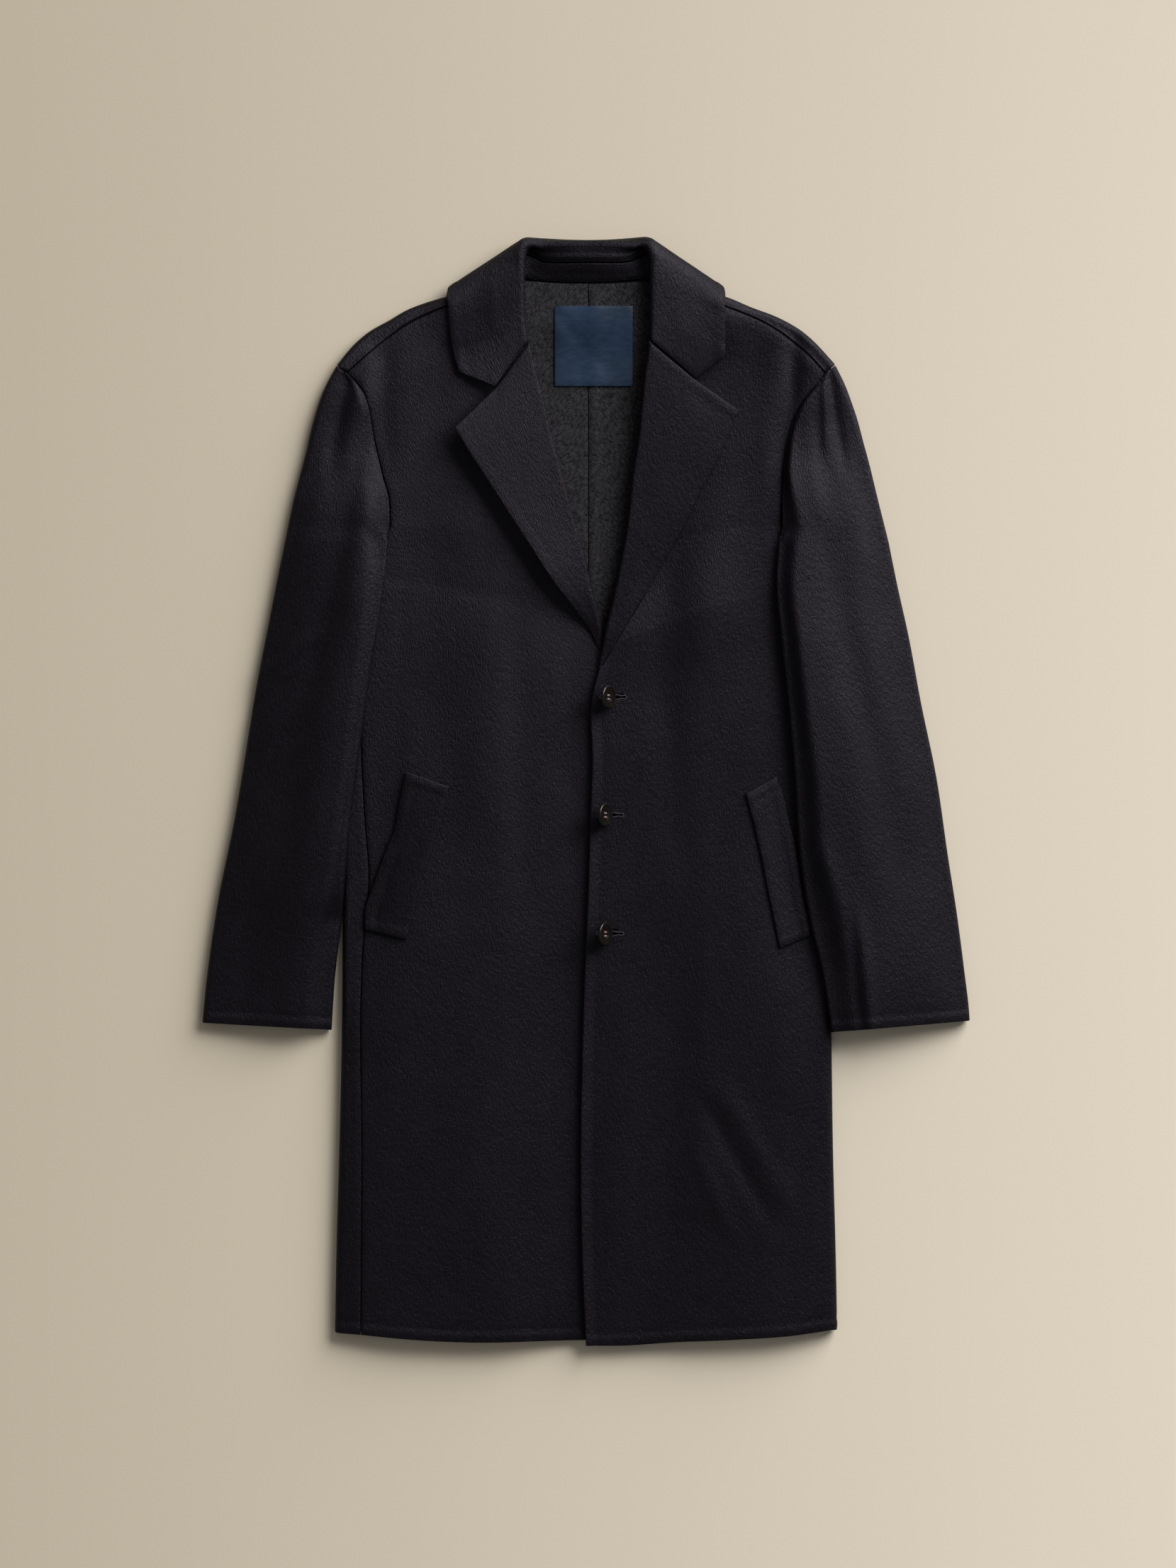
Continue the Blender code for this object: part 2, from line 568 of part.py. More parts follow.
def half_turn(start_share, end_share, count):
    """How far in and how far under the points of a roll are, as pairs of shares."""
    angles = np.linspace(start_share, end_share, count) * math.pi
    return [(1 - math.sin(angle), (1 - math.cos(angle)) / 2) for angle in angles]


def strip_profile(row):
    """Places and heights of the inner strip, from its seam in to the rolled edge."""
    beyond = side_x(row[0], row[1]) - abs(row[0])       # from the sleeve's edge to the body's side
    armpit = float(ramp(row[1], 205, 244))
    start = row[5] / 2 + 0.1
    slope_from = max(lerp(float(beyond) - 1, 14, armpit), start + 3)
    slope_to = max(lerp(float(beyond) + 15, 32, armpit), slope_from + 12)
    low = 4.0 * armpit
    middle = (lerp(slope_from, slope_to, 0.45), max(row[4] * 0.5, low))
    return [(slope_to + 5, low), (slope_to, low), middle, (slope_from, row[4])]


def cross_section(row, side, in_cap):
    """Points of the top sleeve across one row, from its inner strip to its outer strip."""
    inner, outer = row[0:2], row[2:4]
    rest, thick, ridge_at, ridge_z = row[4:]
    inner_roll = thick / 2
    width = np.linalg.norm(outer - inner)
    across = (outer - inner) / width
    edge_roll = min(SLEEVE_EDGE_RISE / 2, width * 0.5)
    edge_rise = lerp(FOLD_RISE, SLEEVE_EDGE_RISE, float(ramp(width, 15, 60)))
    start = rest + thick

    def height(q):
        rising = lerp(start, ridge_z, float(ramp(q, inner_roll, max(ridge_at, inner_roll + 2))))
        return lerp(rising, edge_rise, float(ramp(q, ridge_at, width - edge_roll)))

    strip, places = [], [(0, start), (inner_roll, None)]
    if not in_cap:
        strip = strip_profile(row)
        for reach, turn in half_turn(1, 0.5, 3):
            strip.append((inner_roll * reach, lerp(start, rest, turn)))
        places = [strip[-1], (inner_roll * 0.3, lerp(start, rest, 0.146)), (inner_roll, start)]
    else:
        places = [(share * (width - edge_roll), None) for share in (0, 0.06, 0.12)]
    first = places[-1][0]
    for share in np.linspace(0, 1, TOP_COLUMNS + 1)[1:]:
        places.append((lerp(first, width - edge_roll, share), None))
    for reach, turn in half_turn(0, 1, ARC_COLUMNS + 1)[1:]:
        places.append((width - edge_roll * reach, lerp(height(width - edge_roll), 0, turn)))
    places.append((width - edge_roll - min(STRIP, width * 0.3), 0.0))
    parts = []
    for run in (places, strip):
        parts.append([[*(inner + across * q), height(q) if z is None else z] for q, z in run])
    return parts


def make_sleeve(side, material):
    """Top sleeve rolled under at both edges, and the under sleeve between the strips."""
    lower, cap = sleeve_rows(side)
    lower = [cross_section(row, side, False) for row in lower]
    grid = np.array([row[0] for row in lower] + [cross_section(row, side, True)[0] for row in cap])
    strip = np.array([row[1] for row in lower])
    sheet("sleeve_top_" + side, grid, CLOTH, material, side == "left", [strip])
    away = (-1, 0) if side == "right" else (1, 0)
    strip_end = strip[:, 0, :2] + np.array(away) * 0.8
    shoulder = SHOULDER[side].start(shoulder_seam(side, -1)[:1])
    scye = curve(np.concatenate([BACK_SCYE[side], shoulder]), SCYE_ROWS)
    scye = moved_aside(scye, -into_front(side) * 5)
    inner_line = np.concatenate([strip_end, scye[:-1]])
    outer_line = grid[:-1, -1, :2] - np.array(away) * SEAM
    columns = np.linspace(0, 1, 4)
    flat = lerp(inner_line[:, None], outer_line[:, None], columns[None, :, None])
    height = np.zeros(flat.shape[:2])
    sheet("sleeve_under_" + side, raised(flat, height), CLOTH, material, outside_up=side == "right")


# ---------------------------------------------------------------------------------------------
# Collar and lapels

def bent_path(start, direction, end, shares):
    """Smooth path that leaves its start in a given direction and runs out to its end."""
    out = direction * min(np.linalg.norm(end - start), 24)
    into = (end - start) * 0.9
    path = []
    for t in shares:
        path.append((1 + 2 * t) * (1 - t) ** 2 * start + t * (1 - t) ** 2 * out
                    + t * t * (3 - 2 * t) * end + t * t * (t - 1) * into)
    return path


def clear_of_body(point, station, side, gap):
    """Point kept above the fronts or below the back, as the collar leans at its station."""
    x, y, z = point
    if station.lean >= 110:
        z = max(z, over_body(x, y, side, gap))
    elif station.lean <= 80:
        z = min(z, under_body(x, y, side, gap))
    return np.array([x, y, max(z, 0.0)])


def collar_section(station):
    """Points of the fall and of the stand at one station, each from its neck side."""
    side = "right" if station.roll[0] < 0 else "left"
    lean, heading = math.radians(station.lean), math.radians(station.heading)
    level = np.array([math.cos(heading), math.sin(heading), 0])
    up = np.array([0, 0, 1.0])
    tip = math.cos(lean) * level + math.sin(lean) * up
    fall_side = math.sin(lean) * level - math.cos(lean) * up
    centre = np.array(station.roll) - station.radius * tip
    neck, edge = np.array(station.neck), np.array(station.edge)
    inside = bent_path(centre - station.radius * fall_side, -tip, neck, np.linspace(0, 1, 9))
    if station.lean >= 130:
        inside = [clear_of_body(point, station, side, STAND_CLEAR) for point in inside]
    arc = []
    for angle in np.radians(np.linspace(-90, 90, 6)):
        arc.append(centre + station.radius * (math.cos(angle) * tip + math.sin(angle) * fall_side))
    outside = bent_path(arc[-1], -tip, edge, np.linspace(0, 1, 6)[1:])
    over_stand = [CLOTH * (1 - float(ramp(abs(point[0]), 90, 104))) for point in outside]
    outside = [clear_of_body(point, station, side, TURNED + COLLAR_CLEAR + extra)
               for point, extra in zip(outside, over_stand)]
    joint = inside[FALL_TO_STAND]
    gap = 3.2 if 60 < station.lean < 170 else 1.2
    below = (inside[-1] - joint) / np.linalg.norm(inside[-1] - joint) * gap
    stand = [joint + below, inside[(FALL_TO_STAND + 9) // 2], inside[-1]]
    return [joint, inside[1]] + arc + outside, stand


def gorge(side, section, first, gap):
    """Section whose free part runs down the gorge seam, round the notch and on to its corner."""
    start, corner = section[first].copy(), section[-1].copy()
    notch = np.array([*NOTCH[side], NOTCH_Z[side]])
    section = section.copy()
    section[first:] = along([start, notch, corner], np.linspace(0, 1, len(section) - first))
    down = notch[:2] - start[:2]
    section[:, :2] += gap * np.array([-down[1], down[0]]) / np.linalg.norm(down)
    return section


def make_collar(material):
    """Fall with its roll, and the stand below it, from leaf to leaf."""
    sections = [collar_section(station) for station in COLLAR]
    fall = np.array([section[0] for section in sections])
    stand = np.array([section[1] for section in sections])
    fall[0] = gorge("right", fall[0], 7, -0.5)
    fall[-1] = gorge("left", fall[-1], 7, 0.5)
    sheet("collar_fall", fall, TURNED, material, outside_up=False)
    sheet("collar_stand", stand[2:-2], CLOTH, material)


def make_lapel(side, material):
    """Lapel with its facing, from the roll line out to its edge."""
    shares = np.linspace(0, 1, 10)
    roll_line = curve(ROLL_LINE[side], shares)
    edge_line = curve(LAPEL_EDGE[side], shares)
    edge_lift = 17.0 if side == "right" else 1.0
    radius = 3.6
    grid = []
    for share, near, far in zip(shares, roll_line, edge_line):
        aim = np.array(NOTCH[side]) if share == 1 else far
        across = (aim - near) / np.linalg.norm(aim - near)
        top = max(over_body(*(near + across * 8), side, TURNED + CLEAR) + 1.2, lerp(15.5, 24.4, share))
        row = []
        for angle in np.radians((-20, 20, 55, 90)):
            spot = near + across * radius * (1 - math.cos(angle))
            row.append([*spot, top - radius + radius * math.sin(angle)])
        edge_z = over_body(*far, side, TURNED + CLEAR) + edge_lift * float(ramp(share, 0.0, 0.45))
        for step in np.linspace(0, 1, 6)[1:]:
            spot = lerp(near + across * radius, far, step)
            floor = over_body(*spot, side, TURNED + CLEAR)
            row.append([*spot, max(lerp(top, edge_z, step ** 1.2), floor)])
        grid.append(row)
    grid = np.array(grid)
    grid[-1] = gorge(side, grid[-1], 3, 0.5 if side == "right" else -0.5)
    sheet("lapel_" + side, grid, TURNED, material, outside_up=side == "left")


# ---------------------------------------------------------------------------------------------
# Pockets, label, buttons

def surface_below(flat, names):
    """Height of the highest face of the named panels at each plan point."""
    graph = bpy.context.evaluated_depsgraph_get()
    trees = [BVHTree.FromObject(bpy.data.objects[name], graph) for name in names]
    height = np.zeros(flat.shape[:2])
    for place_at in np.ndindex(height.shape):
        above = Vector((*flat[place_at], 200)) * MM
        hits = [tree.ray_cast(above, Vector((0, 0, -1)))[0] for tree in trees]
        height[place_at] = max(hit.z / MM for hit in hits if hit)
    return height


def make_welt(side, material):
    """Welt that lies on the front, with its free edge towards the side seam."""
    welt = WELTS[side]
    rows = np.linspace(0, 1, 6)
    columns = np.linspace(0, 1, 4)
    sewn = lerp(np.array(welt.bottom_sewn, float), np.array(welt.top_sewn, float), rows[:, None])
    free = lerp(np.array(welt.bottom_free, float), np.array(welt.top_free, float), rows[:, None])
    left, right = (free, sewn) if side == "right" else (sewn, free)
    flat = lerp(left[:, None], right[:, None], columns[None, :, None])
    height = surface_below(flat, ("front_" + side, "back_" + side)) + SEAM + WELT_THICKNESS
    sheet("welt_" + side, raised(flat, height), WELT_THICKNESS, material)


def make_label(material):
    """Label on the inside of the back, below the neck seam."""
    half_width, half_height = LABEL_SIZE[0] / 2, LABEL_SIZE[1] / 2
    xs = LABEL_MIDDLE[0] + np.linspace(-half_width, half_width, 5)
    ys = LABEL_MIDDLE[1] + np.linspace(-half_height, half_height, 7)
    flat = np.stack(np.meshgrid(xs, ys), axis=2)
    height = surface_below(flat, ("back_right", "back_left")) + 2 * SEAM + LABEL_THICKNESS
    sheet("neck_label", raised(flat, height), LABEL_THICKNESS, material)


def button_mesh(name):
    """Horn button: a turned disc with a raised rim and four holes, face up about its middle."""
    half = BUTTON_DIAMETER / 2
    low, high = -BUTTON_THICKNESS / 2, BUTTON_THICKNESS / 2
    profile = [(0, high - 1.5), (half - 3.6, high - 1.3), (half - 2.6, high), (half - 1.2, high),
               (half, high - 1.2), (half, low + 1.0), (half - 1.6, low), (0, low)]
    mesh = bpy.data.meshes.new(name + "_profile")
    mesh.from_pydata([(x * MM, 0, z * MM) for x, z in profile], [(i, i + 1) for i in range(len(profile) - 1)], [])
    turned = bpy.data.objects.new(name + "_turned", mesh)
    COAT.objects.link(turned)
    screw = turned.modifiers.new("Turn", "SCREW")
    screw.steps = screw.render_steps = 24
    screw.use_merge_vertices = True
    screw.merge_threshold = 0.00001
    bpy.context.view_layer.update()
    solid = bpy.data.meshes.new_from_object(turned.evaluated_get(bpy.context.evaluated_depsgraph_get()))
    bpy.data.objects.remove(turned)
    bm = bmesh.new()
    bm.from_mesh(solid)
    bmesh.ops.remove_doubles(bm, verts=bm.verts, dist=0.00001)
    bmesh.ops.recalc_face_normals(bm, faces=bm.faces)
    bm.to_mesh(solid)
    bm.free()
    solid.name = name
    solid.shade_smooth()
    return solid


def hole_cutter(name, where):
    """Four round cutters that make a button's thread holes."""
    mesh = bpy.data.meshes.new(name)
    bm = bmesh.new()
    for x, y in ((1, 1), (1, -1), (-1, 1), (-1, -1)):
        spot = Matrix.Translation(Vector((x * 1.9, y * 1.9, 0)) * MM)
        bmesh.ops.create_cone(bm, cap_ends=True, segments=8, radius1=1.0 * MM, radius2=1.0 * MM,
                              depth=3 * BUTTON_THICKNESS * MM, matrix=spot)
    bm.to_mesh(mesh)
    bm.free()
    cutter = bpy.data.objects.new(name, mesh)
    cutter.matrix_world = where
    cutter.hide_render = True
    cutter.display_type = "WIRE"
    CUTTERS.objects.link(cutter)
    return cutter


def make_buttons(horn, thread):
    """Buttons leaning in their buttonholes, each with its thread shank down to the right front."""
    for number, (x, y) in enumerate(BUTTON_SPOTS, 1):
        cloth = float(top_of_body(x, y, "left"))
        half = BUTTON_DIAMETER / 2
        rise = half * math.sin(BUTTON_TILT) + BUTTON_THICKNESS / 2 * math.cos(BUTTON_TILT) + SEAM
        where = Matrix.Translation(Vector((x, y, cloth + rise)) * MM) @ Matrix.Rotation(BUTTON_TILT, 4, "Y")
        name = "button_%d" % number
        button = place(name, button_mesh(name), horn)
        button.matrix_world = where
        cut = button.modifiers.new("Thread holes", "BOOLEAN")
        cut.operation = "DIFFERENCE"
        cut.object = hole_cutter(name + "_holes", where)
        make_shank("shank_%d" % number, where, thread)


def make_shank(name, where, material):
    """Wound thread from the back of a button, through the buttonhole, to the right front."""
    head = where @ (Vector((0, 0, -BUTTON_THICKNESS / 2 - SEAM)) * MM)
    foot_z = float(top_of_body(head.x / MM, head.y / MM, "right")) + SEAM + 1.0
    foot = Vector((head.x - 2.0 * MM, head.y, foot_z * MM))
    turn = (head - foot).to_track_quat("Z", "Y").to_matrix().to_4x4()
    mesh = bpy.data.meshes.new(name)
    bm = bmesh.new()
    bmesh.ops.create_cone(bm, cap_ends=True, segments=10, radius1=0.9 * MM, radius2=0.9 * MM,
                          depth=(head - foot).length - 1.6 * MM,
                          matrix=Matrix.Translation((head + foot) / 2) @ turn)
    bm.to_mesh(mesh)
    bm.free()
    place(name, mesh, material)


def cut_buttonholes(front):
    """Slots through the left front."""
    mesh = bpy.data.meshes.new("buttonholes")
    bm = bmesh.new()
    for x, y in BUTTON_SPOTS:
        slot = Matrix.Translation(Vector((x + 4.5, y, 12)) * MM) @ Matrix.Diagonal((24 * MM, 2.4 * MM, 20 * MM, 1))
        bmesh.ops.create_cube(bm, size=1, matrix=slot)
    bm.to_mesh(mesh)
    bm.free()
    cutter = bpy.data.objects.new("buttonholes", mesh)
    cutter.hide_render = True
    cutter.display_type = "WIRE"
    CUTTERS.objects.link(cutter)
    cut = front.modifiers.new("Buttonholes", "BOOLEAN")
    cut.operation = "DIFFERENCE"
    cut.object = cutter


for old in list(bpy.data.objects):
    bpy.data.objects.remove(old)
COAT = bpy.data.collections.new("overcoat")
CUTTERS = bpy.data.collections.new("cutters")
bpy.context.scene.collection.children.link(COAT)
bpy.context.scene.collection.children.link(CUTTERS)

wool = cloth_material("navy_wool", (0.012, 0.012, 0.017), 0.95)
charcoal = cloth_material("charcoal_wool", (0.045, 0.044, 0.043), 0.95)
satin = cloth_material("navy_satin", (0.02, 0.05, 0.11), 0.4)
horn = cloth_material("dark_horn", (0.015, 0.011, 0.008), 0.2)
thread = cloth_material("black_thread", (0.02, 0.018, 0.02), 0.7)

for coat_side in ("right", "left"):
    make_back(coat_side, charcoal)
    make_front(coat_side, wool)
    make_sleeve(coat_side, wool)
    make_lapel(coat_side, wool)
    make_welt(coat_side, wool)
make_collar(wool)
make_label(satin)
make_buttons(horn, thread)
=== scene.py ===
"""Looks of a single-breasted wool overcoat that lies flat on its back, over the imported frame.

Sizes and places in the tables are millimetres in the coat's frame: +X is the wearer's left, +Y runs up
to the collar and +Z rises from the surface. Meshes are made in metres.
"""
from __future__ import annotations

import logging
import math
from dataclasses import dataclass, field
from enum import Enum
from typing import Callable, Iterable, NamedTuple, Sequence

import bmesh
import bpy
import numpy as np
from bmesh.types import BMesh
from bpy.types import Material, Object
from mathutils import Euler, Matrix, Vector

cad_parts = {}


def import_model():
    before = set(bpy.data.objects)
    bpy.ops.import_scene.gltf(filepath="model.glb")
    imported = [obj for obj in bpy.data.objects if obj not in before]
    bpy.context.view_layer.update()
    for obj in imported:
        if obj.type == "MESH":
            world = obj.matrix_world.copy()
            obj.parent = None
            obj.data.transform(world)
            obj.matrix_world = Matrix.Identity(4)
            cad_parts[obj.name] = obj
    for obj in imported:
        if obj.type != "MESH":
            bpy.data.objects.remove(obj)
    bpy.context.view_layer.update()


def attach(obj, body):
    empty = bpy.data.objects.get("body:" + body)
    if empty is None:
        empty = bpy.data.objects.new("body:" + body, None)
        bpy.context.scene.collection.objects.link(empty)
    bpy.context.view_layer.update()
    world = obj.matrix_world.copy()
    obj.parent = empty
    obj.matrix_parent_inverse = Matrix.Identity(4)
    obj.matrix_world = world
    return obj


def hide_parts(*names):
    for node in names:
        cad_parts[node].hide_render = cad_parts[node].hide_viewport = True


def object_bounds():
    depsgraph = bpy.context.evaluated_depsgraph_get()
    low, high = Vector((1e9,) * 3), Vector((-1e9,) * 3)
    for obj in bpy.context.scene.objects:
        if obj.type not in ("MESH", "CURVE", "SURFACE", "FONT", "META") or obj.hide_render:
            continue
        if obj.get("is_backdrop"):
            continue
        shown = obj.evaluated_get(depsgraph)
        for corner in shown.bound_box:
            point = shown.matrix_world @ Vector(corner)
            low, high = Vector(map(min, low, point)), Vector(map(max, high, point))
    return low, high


MM: float = 0.001
Array = np.ndarray
Pair = tuple[float, float]
Triple = tuple[float, float, float]
log = logging.getLogger("overcoat")


class Side(Enum):
    """The wearer's right or left."""

    RIGHT = "right"
    LEFT = "left"

    @property
    def sign(self) -> int:
        """-1 on the wearer's right, +1 on the left."""
        return -1 if self is Side.RIGHT else 1


RIGHT, LEFT = Side
Lines = dict[Side, list]


class Edge(Enum):
    """How the cloth ends along one side of a piece."""

    SEAM = "sewn to its neighbour, pressed in along the stitches"
    TURNED = "turned in, with a soft ridge where the turning ends"


class Rim(Enum):
    """A rim of a grid of cloth."""

    FIRST_ROW = "along the first row"
    LAST_ROW = "along the last row"
    FIRST_COLUMN = "down the first column"
    LAST_COLUMN = "down the last column"


# ---- Tables ----

ARMPIT_Y: float = 205.0
SIDE_FOLD: Lines = {
    RIGHT: [(-248, -560), (-247.5, -517), (-246, -441), (-244, -370), (-241, -237), (-240, -100),
            (-239, 12), (-236, 117), (-231, 187), (-226, 250), (-222, 330)],
    LEFT: [(248, -560), (247.5, -517), (246, -441), (244, -370), (242, -237), (240, -128),
           (238, 12), (235, 117), (231, 187), (226, 250), (222, 330)],
}
SHOULDER_FOLD: Lines = {
    RIGHT: [(-30, 529), (-80, 512), (-110, 499.5), (-128, 491), (-142, 487), (-159, 482),
            (-177, 475), (-194, 465), (-215, 453), (-229, 441), (-241, 427), (-248.5, 417),
            (-259, 399), (-271, 360)],
    LEFT: [(30, 528), (80, 512), (108, 500), (128, 491), (142, 486.5), (160, 479), (193, 466),
           (212, 455), (227, 442), (238, 430), (249, 417), (257, 401), (268, 368)],
}
SIDE_SEAM: list = [(-222, -535.5), (-221, -370), (-220, -155), (-214, -86), (-218, -29), (-222, 54),
                   (-221, 150), (-218, 205)]
SCYE: Lines = {
    RIGHT: [(-193, 262), (-195, 293), (-200, 310), (-204, 327), (-208, 344), (-211, 362), (-214, 379),
            (-220, 395), (-228, 405), (-236, 413)],
    LEFT: [(193, 262), (193, 292), (195, 327), (200, 355), (207, 374), (214, 386), (224, 397),
           (232, 406), (235.5, 413)],
}
ARMPIT_HOOK: Lines = {
    RIGHT: [(-218, 205), (-206, 228), (-193, 262)],
    LEFT: [(224, 205), (210, 228), (193, 262)],
}
SHOULDER_SEAM: Lines = {
    RIGHT: [(-236, 413), (-217, 430), (-199, 445), (-174, 462), (-139, 478), (-87, 494)],
    LEFT: [(235.5, 413), (222, 428), (205, 443), (177, 462), (138, 478), (87, 494)],
}
BACK_HOOK: Lines = {
    RIGHT: [(-221, 234), (-213, 266)],
    LEFT: [(209, 234), (213, 266)],
}
BACK_SCYE: Lines = {
    RIGHT: [(-213, 266), (-212, 330), (-219, 378), (-228, 402)],
    LEFT: [(213, 266), (212, 330), (219, 378), (228, 402)],
}
BACK_NECK: Lines = {
    RIGHT: [(2, 501), (-30, 501.5), (-60, 503.5)],
    LEFT: [(2, 501), (34, 501.8), (62, 504)],
}
FRONT_EDGE: Lines = {
    RIGHT: [(44, -540), (44, -300), (44, -100), (41, 40), (33, 112), (21, 148)],
    LEFT: [(0, -546.25), (-2.5, -500), (-1, -168), (1, -122), (4, -29), (6, 30), (6, 94), (11, 114),
           (19, 143)],
}
ROLL_LINE: Lines = {
    RIGHT: [(15, 163), (13, 173), (6, 200), (-1, 231), (-10, 262), (-22, 308), (-33, 349), (-43, 390),
            (-51, 421), (-56, 442)],
    LEFT: [(18, 156), (20, 165), (29, 206), (39, 257), (46, 318), (51, 349), (54, 380), (57, 411),
           (62, 444)],
}
FRONT_NECK: Lines = {
    RIGHT: [(-74, 466), (-87, 482), (-87, 494)],
    LEFT: [(78, 468), (87, 482), (87, 494)],
}
HEM: Lines = {
    RIGHT: [(-222, -535.5), (-185, -539), (-159, -541), (-105, -543), (-50, -542), (44, -540)],
    LEFT: [(0, -546.25), (37, -546.25), (84, -543), (150, -540), (206, -536), (242.2, -531)],
}
LAPEL_EDGE: Lines = {
    RIGHT: [(3, 161), (-15, 183), (-36, 212), (-56, 243), (-77, 275), (-97, 306), (-117, 337),
            (-130, 358)],
    LEFT: [(32, 150), (46, 173), (67, 208), (88, 245), (106, 280), (113, 295), (129, 325), (141, 352),
           (151, 376)],
}
WELT_SEWN: Lines = {
    RIGHT: [(-177, -146), (-173, -133), (-164, -97), (-155, -68), (-145, -39), (-135, 5)],
    LEFT: [(191, -155), (189, -146), (185, -127), (178, -94), (172, -63), (165, -32), (157, -2)],
}
WELT_FREE: Lines = {
    RIGHT: [(-218, -136), (-218, -117), (-210, -92), (-198, -58), (-190, -39), (-185, -13),
            (-178, 20)],
    LEFT: [(221, -142), (221, -129), (216, -111), (212, -88), (207, -55), (200, -28), (193, 1),
           (187, 15)],
}
NOTCH: dict[Side, tuple] = {RIGHT: (-89, 398, 23.0), LEFT: (108, 406, 19.5)}


class Ridge(NamedTuple):
    """One row of a sleeve: both edges, how the inner edge lies and the highest line."""

    inner_x: float
    inner_y: float
    outer_x: float
    outer_y: float
    rest: float
    thick: float
    ridge_at: float
    ridge_z: float


SLEEVE: dict[Side, list[Ridge]] = {
    RIGHT: [
        Ridge(-251, -235, -378.6, -228, 0, 10, 28, 19), Ridge(-247.5, -182, -374, -182, 0, 12, 26, 21),
        Ridge(-241, -127, -366, -125, 0, 14, 24, 24), Ridge(-238.6, -100, -361, -96, 9.5, 12, 20, 27),
        Ridge(-236, -70, -356, -72, 11.8, 13, 18, 28), Ridge(-231, -21, -347, -28, 12.1, 14, 16, 29),
        Ridge(-224, 31, -338, 25, 12.3, 14, 15, 29.5), Ridge(-214, 105, -325, 105, 12.3, 14, 15, 30),
        Ridge(-203, 174, -312, 172, 12.3, 11.5, 17, 29), Ridge(-197.3, 218, -303, 218, 12.3, 8.5, 20, 27),
        Ridge(-195.5, 246, -297, 247, 12.3, 6, 24, 24.5),
    ],
    LEFT: [
        Ridge(241.5, -237, 378.6, -226, 12.3, 7, 31, 27), Ridge(238, -215, 377.2, -209, 12.3, 7, 34, 28),
        Ridge(233, -183, 374, -183, 12.3, 7, 37, 29), Ridge(220, -127, 366.5, -125, 12.3, 7.5, 38, 30),
        Ridge(209.7, -60, 356.5, -60, 12.3, 8.5, 26, 32), Ridge(204.6, 12, 346, 12, 12.3, 9.5, 24, 33),
        Ridge(197.5, 92, 330, 90, 12.3, 9.5, 20, 33), Ridge(191, 152, 318.5, 152, 12.3, 9.5, 19, 32),
        Ridge(186.8, 204, 307, 204, 12.3, 7.5, 18, 29.5), Ridge(189, 244, 298.5, 246, 12.3, 5.5, 19, 27),
    ],
}
# How far the ridge of a sleeve's head lies from its seam and above it: at the armpit, then higher up.
HEAD_RIDGE: dict[Side, tuple] = {RIGHT: ((24, 30), (7.0, 3.6)), LEFT: ((19, 9), (9.5, 12.5))}
SLEEVE_HEAD: Lines = {
    RIGHT: [(-294, 262), (-288, 290), (-282, 313), (-276, 336), (-271, 358), (-265, 379), (-258, 398),
            (-246.4, 419.8)],
    LEFT: [(294.5, 262), (287, 292), (279, 325), (273, 347), (268, 366), (262, 384), (256, 400),
           (246.1, 420.4)],
}


class Station(NamedTuple):
    """One section of the collar: the middle of its roll, how it leans, and where both edges lie."""

    roll: Triple
    lean: float
    heading: float
    radius: float
    edge: Triple
    neck: Triple


